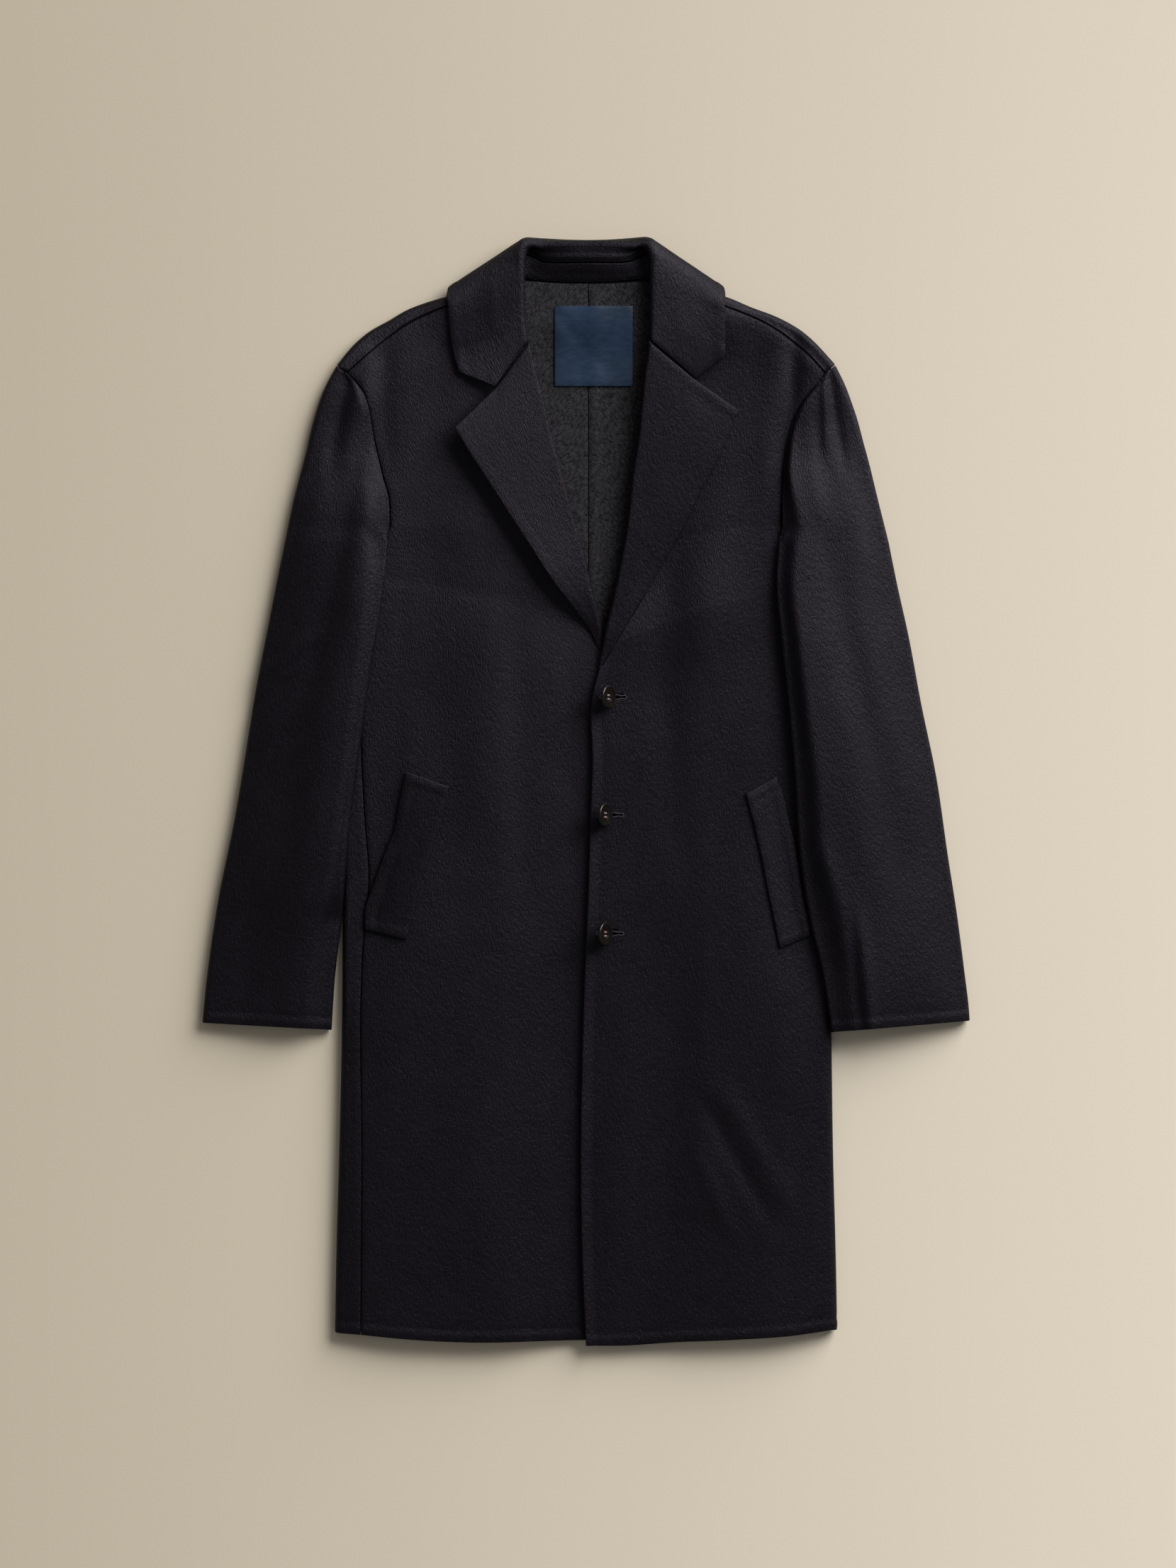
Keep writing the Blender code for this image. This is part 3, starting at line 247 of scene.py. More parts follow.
COLLAR: list[Station] = [Station(*row) for row in [
    ((-56.5, 442.0, 19.7), 180, 225, 4.7, (-125.1, 412.8, 17.5), (-63.0, 436.5, 15.0)),
    ((-58.8, 456.0, 20.1), 180, 192, 4.8, (-131.5, 433.0, 17.5), (-70.0, 455.0, 15.0)),
    ((-60.0, 470.0, 20.4), 180, 182, 4.8, (-134.0, 449.0, 18.0), (-77.0, 471.0, 15.0)),
    ((-60.0, 494.7, 21.2), 178, 180, 5.0, (-135.5, 466.0, 18.2), (-87.0, 487.0, 15.0)),
    ((-60.0, 516.0, 22.8), 162, 176, 5.6, (-136.5, 480.5, 17.6), (-86.0, 502.0, 15.0)),
    ((-60.0, 529.5, 25.0), 135, 164, 6.2, (-137.5, 491.5, 14.0), (-73.0, 516.0, 12.0)),
    ((-59.0, 538.0, 25.6), 98, 146, 7.2, (-134.8, 497.8, 6.5), (-66.0, 510.0, 8.5)),
    ((-55.5, 541.2, 23.5), 74, 130, 8.4, (-124.5, 488.0, 0.0), (-62.0, 507.0, 7.0)),
    ((-51.0, 542.6, 20.8), 52, 116, 9.6, (-109.0, 477.5, 0.0), (-56.0, 504.9, 6.6)),
    ((-41.0, 544.2, 16.5), 26, 100, 11.0, (-80.3, 471.6, 0.0), (-44.0, 503.4, 6.3)),
    ((-22.0, 544.1, 13.6), 8, 92, 12.0, (-38.0, 471.6, 0.0), (-23.0, 502.2, 6.2)),
    ((1.6, 543.4, 12.2), 0, 90, 12.0, (1.6, 471.6, 0.0), (1.6, 501.8, 6.2)),
    ((24.0, 544.1, 13.6), 8, 88, 12.0, (38.0, 471.6, 0.0), (25.0, 502.6, 6.2)),
    ((41.0, 544.3, 16.5), 26, 80, 11.0, (80.0, 471.6, 0.0), (45.0, 504.0, 6.3)),
    ((51.5, 543.0, 20.8), 52, 64, 9.6, (109.0, 477.5, 0.0), (57.0, 505.6, 6.6)),
    ((56.5, 541.6, 23.5), 74, 50, 8.4, (124.5, 488.0, 0.0), (63.0, 508.0, 7.0)),
    ((60.5, 538.4, 25.6), 98, 34, 7.2, (134.8, 498.0, 6.5), (67.0, 510.5, 8.5)),
    ((61.8, 529.5, 25.0), 135, 16, 6.2, (137.5, 492.0, 14.0), (74.0, 516.0, 12.0)),
    ((62.0, 516.0, 22.8), 162, 4, 5.6, (137.0, 481.5, 17.6), (86.0, 502.0, 15.0)),
    ((62.0, 496.0, 21.2), 178, 0, 5.0, (137.3, 468.0, 18.2), (87.0, 487.0, 15.0)),
    ((62.0, 474.0, 20.4), 180, -2, 4.8, (137.5, 453.0, 18.0), (79.0, 474.0, 15.0)),
    ((62.3, 459.0, 20.1), 180, -10, 4.8, (137.3, 441.0, 17.5), (73.5, 458.0, 15.0)),
    ((62.0, 444.0, 19.7), 180, -34, 4.7, (137.0, 429.0, 17.5), (69.0, 441.0, 15.0)),
]]


class Crease(NamedTuple):
    """A soft trough (negative rise) or ridge: its middle, length, half width, height and slant."""

    x: float
    y: float
    length: float
    width: float
    rise: float
    slant: float = 0.0      # mm across for each mm up


BODY_CREASES: list[Crease] = [Crease(*row) for row in [
    (-200, 385, 150, 13, -3.0), (-158, 160, 240, 24, -2.4),
    (-118, 340, 230, 28, 2.6), (202, 378, 170, 8, -5.5, 0.07),
    (182, 372, 190, 13, 1.6, 0.07), (192, 300, 130, 11, -3.0, 0.1),
    (-216, 400, 70, 10, 2.4), (80, 165, 190, 20, -2.6, 0.06),
    (126, 250, 250, 26, 3.0, 0.05), (160, -40, 330, 26, 1.2),
    (85, 10, 180, 17, -1.8, -0.05), (196, 0, 420, 18, -1.8, -0.06),
    (-120, -305, 320, 36, 1.2), (196, -240, 130, 22, 1.6),
    (34, -340, 300, 18, 1.4, 0.06), (84, -330, 330, 20, -1.6, 0.08),
    (150, -366, 125, 9, -1.8, -0.55), (168, -352, 120, 11, 1.6, -0.55),
    (128, -400, 90, 10, 1.2, -0.4), (205, -420, 190, 15, -1.4, 0.1),
    (112, -470, 120, 26, -1.0), (-66, 40, 320, 16, -2.4, -0.02),
    (-28, 30, 320, 15, 1.2), (-100, 90, 260, 22, 1.4, 0.05),
    (-70, -330, 300, 24, -1.6, 0.05), (-188, -440, 200, 26, -1.4, 0.1),
    (-168, -190, 130, 30, 1.4, 0.6), (-30, -420, 260, 20, 1.0),
    (-205, -60, 260, 18, -1.2), (98, 352, 120, 14, 1.6, 0.75),
    (-160, 440, 60, 18, 1.4, 0.8),
]]
SLEEVE_CREASES: dict[Side, list[Crease]] = {
    RIGHT: [
        Crease(-243, 372, 100, 8, -3.0, 0.22), Crease(-228, 362, 110, 9, 2.1, 0.18),
        Crease(-262, 300, 150, 14, 1.6, 0.25), Crease(-222, 250, 190, 12, 1.9, 0.12),
        Crease(-250, 200, 210, 15, -1.6, 0.2), Crease(-285, 60, 260, 20, -1.4, 0.16),
        Crease(-262, 20, 260, 16, 1.4, 0.15), Crease(-330, -150, 150, 18, -1.3, 0.1),
        Crease(-286, -170, 130, 15, 1.4, 0.12), Crease(-300, 130, 60, 9, 1.1, 1.4),
        Crease(-318, 90, 50, 8, -1.1, 1.3),
    ],
    LEFT: [
        Crease(236, 375, 90, 4.5, 2.4, -0.02), Crease(247, 366, 110, 6, -2.4, -0.16),
        Crease(222, 330, 120, 9, 1.4, -0.1), Crease(262, 280, 160, 12, 1.6, -0.22),
        Crease(250, 170, 200, 14, -1.4, -0.2), Crease(282, 130, 220, 13, 1.8, -0.17),
        Crease(262, 20, 240, 17, 1.6, -0.14), Crease(300, -20, 200, 16, -1.3, -0.16),
        Crease(267, -195, 130, 5, -2.7, -0.1), Crease(276, -190, 140, 7, 2.6, -0.1),
        Crease(330, -150, 150, 18, 1.3, -0.12), Crease(245, -110, 120, 9, 1.6, -0.25),
    ],
}


# ---- Lines and rows of points ----

def even(count: int) -> Array:
    """So many even shares from 0 to 1."""
    return np.linspace(0, 1, count)


def smooth(share: Array | float) -> Array:
    """Eased share between 0 and 1."""
    share = np.clip(share, 0, 1)
    return share * share * (3 - 2 * share)


def ramp(value: Array | float, start: float | Array, end: float | Array) -> Array:
    """Eased rise from 0 at start to 1 at end."""
    return smooth((np.asarray(value, float) - start) / (end - start))


def lerp(low: Array | float, high: Array | float, share: Array | float) -> Array | float:
    """Point or number between two others."""
    return low + (high - low) * share


def bump(distance: Array, middle: float | Array, width: float) -> Array:
    """Rounded rise of height 1 about a middle."""
    return np.exp(-((distance - middle) / width) ** 2)


def bumps(distance: Array, rows: Iterable[Triple]) -> Array:
    """Sum of rounded rises, each given by its height, its middle and its width."""
    return sum(height * bump(distance, middle, width) for height, middle, width in rows)


def distances(points: Array) -> Array:
    """Distance along a run of points or sections to each of them.

    Args:
        points: Points, or sections of points, one after the other.

    Returns:
        Distance from the first one, by the mean step where they are sections.
    """
    steps = np.linalg.norm(np.diff(points, axis=0), axis=-1)
    if steps.ndim > 1:
        steps = steps.mean(axis=1)
    return np.concatenate([[0], np.cumsum(steps)])


def cubic(start: Array, out: Array, end: Array, into: Array, t: Array) -> Array:
    """Points of a cubic arc between two ends, with the direction in which it leaves and arrives."""
    return ((1 + 2 * t) * (1 - t) ** 2 * start + t * (1 - t) ** 2 * out
            + t * t * (3 - 2 * t) * end + t * t * (t - 1) * into)


def faired(points: Sequence | Array, places: Array, given: Array | None = None) -> Array:
    """Smooth run through a short list of points or sections.

    Args:
        points: Points, or sections of points, one after the other.
        places: Distances at which the result is wanted.
        given: Distances of the points, where they aren't measured on the points themselves.

    Returns:
        Points or sections at those distances, on cubic arcs between the given ones.
    """
    knots = np.array(points, float)
    place = distances(knots) if given is None else given
    slopes = np.gradient(knots, place, axis=0)
    index = np.clip(np.searchsorted(place, places, side="right") - 1, 0, len(place) - 2)
    step = place[index + 1] - place[index]
    shape = (-1,) + (1,) * (knots.ndim - 1)
    t = ((places - place[index]) / step).reshape(shape)
    step = step.reshape(shape)
    return cubic(knots[index], step * slopes[index], knots[index + 1], step * slopes[index + 1], t)


def curve(points: Sequence | Array, shares: Array) -> Array:
    """Points of a smooth curve.

    Args:
        points: Short list of points that it passes through.
        shares: Shares of its length.

    Returns:
        A point for each share.
    """
    length = distances(np.array(points, float))[-1]
    between = 12
    dense = faired(points, np.linspace(0, length, between * len(points)))
    return along(dense, shares)


def along(points: Sequence | Array, shares: Array) -> Array:
    """Points of a polyline.

    Args:
        points: Its corners.
        shares: Shares of its length.

    Returns:
        A point for each share.
    """
    points = np.array(points, float)
    place = distances(points)
    wanted = np.asarray(shares, float) * place[-1]
    return np.stack([np.interp(wanted, place, column) for column in points.T], axis=1)


def across_at(line: Sequence | Array, y: Array) -> Array:
    """Place across of a line that runs upwards, at given heights."""
    x, heights = np.array(line, float).T
    return np.interp(y, heights, x)


def join(*runs: Array) -> Array:
    """One run of points from several that share their ends."""
    return np.concatenate([runs[0]] + [run[1:] for run in runs[1:]])


def moved_aside(points: Array, distance: float | Array) -> Array:
    """Plan points moved to the left of their direction of travel.

    Args:
        points: Points of a line.
        distance: One distance, or one for each point.

    Returns:
        The moved points.
    """
    distance = np.broadcast_to(distance, len(points))[:, None]
    tangent = np.gradient(points, axis=0)
    tangent /= np.linalg.norm(tangent, axis=1, keepdims=True)
    return points + distance * np.stack([-tangent[:, 1], tangent[:, 0]], axis=1)


def shares_of(points: Array) -> Array:
    """Share of the length at which each point lies."""
    place = distances(points)
    return place / place[-1]


def steps(length: float, pitch: float = 5.0, first: bool = False, last: bool = False) -> Array:
    """Shares of a length at an even pitch, with a closer pitch in a band at its ends.

    Args:
        length: Length to divide, in mm.
        pitch: Pitch in the middle, in mm.
        first: Whether the start has a band of closer steps.
        last: Whether the end has one.

    Returns:
        Shares from 0 to 1.
    """
    band, fine = 16.0, 2.0
    start = band if first else 0.0
    end = length - band if last else length
    parts = [np.arange(0, start, fine), np.linspace(start, end, max(2, round((end - start) / pitch) + 1))]
    if last:
        parts.append(length - np.arange(band - fine, -0.01, -fine))
    return np.unique(np.round(np.concatenate(parts) / length, 9))


def patch(left: Array, right: Array, bottom: Array, top: Array) -> Array:
    """Grid of points between four edges.

    Args:
        left: Points up the left edge.
        right: Points up the right edge.
        bottom: Points along the bottom, to the right.
        top: Points along the top, to the right.

    Returns:
        Rows from the bottom up.
    """
    u = ((shares_of(bottom) + shares_of(top)) / 2)[None, :, None]
    v = ((shares_of(left) + shares_of(right)) / 2)[:, None, None]
    across = lerp(left[:, None], right[:, None], u)
    upward = lerp(bottom[None], top[None], v)
    low = lerp(bottom[0], bottom[-1], u)
    high = lerp(top[0], top[-1], u)
    return across + upward - lerp(low, high, v)


def raised(flat: Array, height: Array) -> Array:
    """Grid of plan points with a height for each."""
    return np.concatenate([flat, height[..., None]], axis=2)


def creased(rows: Sequence[Crease], x: Array, y: Array) -> Array:
    """Rise and fall of a table of creases.

    Args:
        rows: The creases.
        x: Places across.
        y: Places up.

    Returns:
        A height for each place.
    """
    total = np.zeros(np.broadcast(x, y).shape)
    for row in rows:
        reach = 1 - ramp(np.abs(y - row.y), row.length * 0.25, row.length * 0.65)
        total += row.rise * reach * bump(x - row.slant * (y - row.y), row.x, row.width)
    return total


RIPPLE: Pair = (0.3, 0.12)


def ripple(x: Array, y: Array) -> Array:
    """Slight unevenness of cloth that has been laid down by hand, about 0.4 mm either way."""
    slow = np.sin(x / 31 + 1.7 * np.sin(y / 83)) * np.sin(y / 58 + 1.3 * np.sin(x / 71) + 0.6)
    quick = np.sin(x / 13.7 + 2.1 * np.sin(y / 47) + 1.0) * np.sin(y / 22.3 + 1.9 * np.sin(x / 39))
    return RIPPLE[0] * slow + RIPPLE[1] * quick


class Fold:
    """Line that the flattened body rolls over."""

    def __init__(self, outline: list, outward_left: bool, radius: float) -> None:
        """Set the fold up from the outline of the rolled cloth.

        Args:
            outline: Plan points of the outermost line.
            outward_left: Whether outwards is to the left of the direction of travel.
            radius: Radius of the cloth's outer face.
        """
        self.radius = radius
        self.side = 1 if outward_left else -1
        self.line = moved_aside(curve(outline, even(120)), -self.side * radius)

    def foot(self, points: Array) -> tuple[Array, Array, Array]:
        """Where points lie from the line.

        Args:
            points: Plan points.

        Returns:
            Distance past the line, nearest point on it and outward direction, for each point.
        """
        at_once = 3000
        if len(points) > at_once:
            parts = [self.foot(part) for part in np.array_split(points, len(points) // at_once + 1)]
            return tuple(np.concatenate(column) for column in zip(*parts))
        start, end = self.line[:-1], self.line[1:]
        step = end - start
        length = np.linalg.norm(step, axis=1)
        offset = points[:, None] - start[None]
        share = np.clip((offset * step).sum(2) / length ** 2, 0, 1)
        near = start + share[:, :, None] * step
        best = np.argmin(np.linalg.norm(points[:, None] - near, axis=2), axis=1)
        rows = np.arange(len(points))
        outward = self.side * np.stack([-step[:, 1], step[:, 0]], axis=1)[best] / length[best, None]
        distance = ((points - near[rows, best]) * outward).sum(1)
        return distance, near[rows, best], outward

    def distance(self, x: Array, y: Array) -> Array:
        """Distance past the line at plan points of any shape."""
        x, y = np.broadcast_arrays(np.asarray(x, float), np.asarray(y, float))
        return self.foot(np.stack([x.ravel(), y.ravel()], axis=1))[0].reshape(x.shape)

    def roll(self, points: Array) -> tuple[Array, Array]:
        """Cloth rolled over the line.

        Args:
            points: Plan points of the flat cloth.

        Returns:
            The points after rolling, and how far each has turned over, from 0 to 1.
        """
        distance, near, outward = self.foot(points)
        turn = np.clip(distance / self.radius, 0, math.pi)
        past = np.maximum(distance - math.pi * self.radius, 0)
        reach = np.where(distance > 0, self.radius * np.sin(turn) - past, distance)
        rolled = np.where(distance[:, None] > 0, near + reach[:, None] * outward, points)
        return rolled, (1 - np.cos(turn)) / 2

    def unroll(self, points: Array) -> Array:
        """Flat places of plan points that lie on the far side of the roll."""
        distance, near, outward = self.foot(np.array(points, float))
        return near + (math.pi * self.radius - distance)[:, None] * outward

    def start(self, points: Array) -> Array:
        """Nearest points on the line where the roll starts."""
        return self.foot(np.array(points, float))[1]

    def start_at(self, heights: Array) -> Array:
        """Points of the line at given heights."""
        return np.stack([across_at(self.line, heights), heights], axis=1)


@dataclass
class Body:
    """Form of the coat's body as it lies: its rolled edges and the height of each layer."""

    cloth: float = 2.6
    fold_radius: float = 5.75
    layer_rise: float = 8.6
    collar_lift: float = 4.4
    overlap_rise: float = 3.9
    seam: float = 0.3
    crown: float = 8.0
    crown_reach: float = 110.0
    roll_rise: float = 1.2
    roll_reach: float = 28.0
    shoulder_gap: float = 0.3
    turn_rows: int = 13
    flat_rows: int = 8
    felled_seam: tuple[Triple, ...] = ((1.0, 9.5, 2.8), (0.6, 5.0, 3.0))
    uneven: float = 0.35
    side: dict[Side, Fold] = field(init=False)
    shoulder: dict[Side, Fold] = field(init=False)

    def __post_init__(self) -> None:
        """Make the lines that the body rolls over."""
        self.side = {s: Fold(SIDE_FOLD[s], s is RIGHT, self.fold_radius) for s in Side}
        self.shoulder = {s: Fold(SHOULDER_FOLD[s], s is LEFT, self.fold_radius) for s in Side}

    def lift(self, x: Array, y: Array) -> Array:
        """Height of the back's underside, raised where the collar's fall lies under it."""
        return self.collar_lift * ramp(y, 425, 468) * (1 - ramp(np.abs(x - 1), 126, 168))

    def swell(self, x: Array, y: Array) -> Array:
        """Extra thickness of the back beside its centre seam, where the allowance is felled down."""
        return bumps(x, self.felled_seam) + self.uneven * (1 + ripple(x * 1.6, y * 1.3) / sum(RIPPLE))

    def side_x(self, x: Array, y: Array) -> Array:
        """Reach of the flattened body at a height, on the side of x."""
        right, left = (across_at(SIDE_FOLD[side], y) for side in Side)
        return np.where(np.asarray(x) < 0, -right, left)

    def shoulder_y(self, x: Array) -> Array:
        """Height of the shoulder's edge at a place across."""
        table = np.array(SHOULDER_FOLD[RIGHT][::-1] + SHOULDER_FOLD[LEFT], float)
        return np.interp(x, table[:, 0], table[:, 1])

    def edge_share(self, x: Array, y: Array) -> Array:
        """How much a place belongs to the raised edges of the body, from 0 to 1."""
        from_side = self.side_x(x, y) - np.abs(x)
        from_shoulder = self.shoulder_y(x) - y
        return 1 - ramp(from_side, 40, 120) * ramp(from_shoulder, 20, 120)

    def top(self, x: Array, y: Array, side: Side) -> Array:
        """Height of a front's outer face.

        Args:
            x: Places across.
            y: Places up.
            side: Side of the front.

        Returns:
            A height for each place.
        """
        x, y = np.asarray(x, float), np.asarray(y, float)
        edges = self.edge_share(x, y)
        rise = lerp(self.layer_rise, 2 * self.fold_radius, edges) + self.lift(x, y)
        inside = self.side_x(x, y) - np.abs(x) - lerp(4, 52, ramp(y, -260, -20))
        dome = 1 - (1 - np.clip(inside / self.crown_reach, 0, 1)) ** 2
        rise = rise + self.crown * dome * ramp(np.abs(x - 18), 30, 104) * (1 - ramp(y, 150, 320))
        rise = rise + creased(BODY_CREASES, x, y) * (1 - 0.3 * edges)
        near_roll = bump(x, across_at(ROLL_LINE[side], y), self.roll_reach)
        rise = rise + self.roll_rise * near_roll * ramp(y, 200, 400)
        if side is LEFT:
            rise = rise + self.overlap_rise * (1 - ramp(x, 50, 112)) * (1 - ramp(y, 150, 215))
        return rise + ripple(x, y) * (1 - 0.5 * edges)

    def over(self, x: Array, y: Array, side: Side, gap: float | Array) -> Array:
        """Height at which a layer clears the fronts and the rolled shoulder.

        Args:
            x: Places across.
            y: Places up.
            side: Side of the coat.
            gap: Distance to keep.

        Returns:
            A height for each place.
        """
        distance = self.shoulder[side].distance(x, y)
        radius = self.fold_radius + gap
        wrap = self.lift(x, y) + self.fold_radius + np.sqrt(np.maximum(radius ** 2 - distance ** 2, 0))
        flat = self.top(x, y, side) + gap
        return np.where(distance <= 0, flat, np.where(distance >= radius, 0.0, wrap))

    def under(self, x: Array, y: Array, side: Side, gap: float) -> Array:
        """Height below which a layer clears the back and the rolled shoulder.

        Args:
            x: Places across.
            y: Places up.
            side: Side of the coat.
            gap: Distance to keep.

        Returns:
            A height for each place.
        """
        distance = self.shoulder[side].distance(x, y)
        radius = self.fold_radius + gap
        wrap = self.lift(x, y) + self.fold_radius - np.sqrt(np.maximum(radius ** 2 - distance ** 2, 0))
        return np.where(distance <= 0, 0.0, np.where(distance >= radius, 100.0, np.maximum(0.0, wrap)))

    def rolled(self, fold: Fold, base: Array, end: Array, side: Side, from_top: bool) -> Array:
        """Grid from a panel's edge over a roll to the seam beyond it.

        Args:
            fold: Line that the cloth rolls over.
            base: Plan points of the panel's edge, on that line.
            end: Flat places of the seam beyond the roll.
            side: Side of the body.
            from_top: Whether the panel's edge is on the upper face.

        Returns:
            Rows from the panel's edge to the seam.
        """
        distance = fold.foot(end)[0]
        turning = np.linspace(0, math.pi * self.fold_radius, self.turn_rows)[:, None] / distance[None]
        rest = lerp(turning[-1][None], 1.0, even(self.flat_rows)[1:, None])
        shares = np.concatenate([turning, rest])[..., None]
        flat = lerp(base[None], end[None], shares)
        plan, turn = fold.roll(flat.reshape(-1, 2))
        low, high = self.lift(plan[:, 0], plan[:, 1]), self.top(plan[:, 0], plan[:, 1], side)
        height = lerp(high, 0, turn) if from_top else lerp(low, high, turn)
        return raised(plan.reshape(flat.shape), height.reshape(flat.shape[:2]))

    def into_front(self, side: Side) -> float:
        """Half the seam gap, signed so that a front's outer boundary moves into the front."""
        return side.sign * self.seam / 2

    def shoulder_seam(self, side: Side, into: int, shares: Array) -> Array:
        """Seam at the shoulder from the scye to the neck, moved to the front or to the back of it."""
        return moved_aside(curve(SHOULDER_SEAM[side], shares), side.sign * self.shoulder_gap / 2 * into)


# ---- Walls of cloth ----

def normals_of(grid: Array) -> Array:
    """Unit normals of a grid of points, by its rows and columns."""
    normal = np.cross(np.gradient(grid, axis=1), np.gradient(grid, axis=0))
    return normal / np.maximum(np.linalg.norm(normal, axis=2, keepdims=True), 1e-9)


def run_across(grid: Array) -> Array:
    """Distance along each row of a grid to each of its points."""
    return np.cumsum(np.linalg.norm(np.diff(grid, axis=1, prepend=grid[:, :1]), axis=2), axis=1)


EDGE_PROFILE: dict[Edge, tuple[Triple, ...]] = {
    Edge.SEAM: ((-0.55, 0, 2.6), (0.16, 6, 3)),
    Edge.TURNED: ((0.36, 6.5, 3.6), (-0.26, 12.0, 2.8), (-0.2, 0, 2)),
}


class Border(NamedTuple):
    """How the cloth ends along one rim, and how much of it holds at each place along the rim."""

    rim: Rim
    edge: Edge
    weight: Array | float = 1.0


def edged(grid: Array, borders: Iterable[Border], outwards: float = 1.0) -> Array:
    """Grid with its edges pressed in or ridged, along its normals.

    Args:
        grid: Points of the outer face.
        borders: Edges that are shaped.
        outwards: 1 where the grid's own normals point outwards, -1 where they point inwards.

    Returns:
        The moved points.
    """
    down, across = run_across(grid.swapaxes(0, 1)).T, run_across(grid)
    place = {Rim.FIRST_ROW: down, Rim.LAST_ROW: down[-1] - down,
             Rim.FIRST_COLUMN: across, Rim.LAST_COLUMN: across[:, -1:] - across}
    rise = np.zeros(grid.shape[:2])
    for rim, edge, weight in borders:
        weight = np.atleast_1d(weight)
        along_rim = weight[None] if rim in (Rim.FIRST_ROW, Rim.LAST_ROW) else weight[:, None]
        rise += bumps(place[rim], EDGE_PROFILE[edge]) * along_rim
    return grid + normals_of(grid) * (rise * outwards)[..., None]


@dataclass
class Cut:
    """Flat size of the cloth that a piece shows, measured on its grids."""

    width: float = 0.0
    length: float = 0.0
    area: float = 0.0

    def add(self, grid: Array, beside: bool) -> None:
        """Take in one grid.

        Args:
            grid: Points of the cloth.
            beside: Whether it widens the piece, as one beside the first does, or lengthens it.
        """
        across = np.linalg.norm(np.diff(grid, axis=1), axis=2)
        down = np.linalg.norm(np.diff(grid, axis=0), axis=2)
        a, b = grid[1:, 1:] - grid[:-1, :-1], grid[1:, :-1] - grid[:-1, 1:]
        self.area += float(np.linalg.norm(np.cross(a, b), axis=2).sum() / 2) * MM * MM
        width, length = float(across.sum(1).max()) * MM, float(down.sum(0).max()) * MM
        if self.width == 0 or beside:
            self.width += width
        if self.length == 0 or not beside:
            self.length += length


def linked(bm: BMesh, name: str, materials: Sequence[Material] = (),
           rounded: bool = True) -> Object:
    """Object of a bmesh in the scene.

    Args:
        bm: Mesh of the object, which is freed.
        name: Name of the object.
        materials: Its materials.
        rounded: Whether its faces are shaded smooth.

    Returns:
        The object.
    """
    for face in bm.faces:
        face.smooth = rounded
    mesh = bpy.data.meshes.new(name)
    bm.to_mesh(mesh)
    bm.free()
    for material in materials:
        mesh.materials.append(material)
    piece = bpy.data.objects.new(name, mesh)
    bpy.context.scene.collection.objects.link(piece)
    return piece


def unit_grid(bm: BMesh, rows: int, columns: int) -> list[tuple[bmesh.types.BMVert, int, int]]:
    """Flat grid of faces, with the row and the column of each of its vertices."""
    made = bmesh.ops.create_grid(bm, x_segments=columns - 1, y_segments=rows - 1, size=1)
    spots = [(vertex, (vertex.co.xy + Vector((1, 1))) / 2) for vertex in made["verts"]]
    return [(vertex, round(spot.y * (rows - 1)), round(spot.x * (columns - 1))) for vertex, spot in spots]


def finished(bm: BMesh, name: str, materials: Sequence[Material],
             node: str | None = None) -> Object:
    """Piece that rides on the root.

    Args:
        bm: Mesh of the piece, which is freed.
        name: Name of the piece.
        materials: Its materials.
        node: Node that it stands for, if any.

    Returns:
        The piece.
    """
    piece = linked(bm, name, materials)
    if node:
        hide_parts(node)
    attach(piece, "root")
    return piece


def cut_through(piece: Object, cutters: Callable[[BMesh], None]) -> None:
    """Cut shapes out of a piece and leave the result, with its other modifiers, as its mesh.

    Args:
        piece: Object that is cut.
        cutters: Call that adds the closed shapes to a bmesh.
    """
    bm = bmesh.new()
    cutters(bm)
    bmesh.ops.recalc_face_normals(bm, faces=bm.faces)
    cutter = linked(bm, "cutter", rounded=False)
    cut = piece.modifiers.new("Cut", "BOOLEAN")
    cut.operation = "DIFFERENCE"
    cut.object = cutter
    graph = bpy.context.evaluated_depsgraph_get()
    graph.update()
    whole = bpy.data.meshes.new_from_object(piece.evaluated_get(graph), depsgraph=graph)
    piece.modifiers.clear()
    piece.data = whole
    bpy.data.objects.remove(cutter)


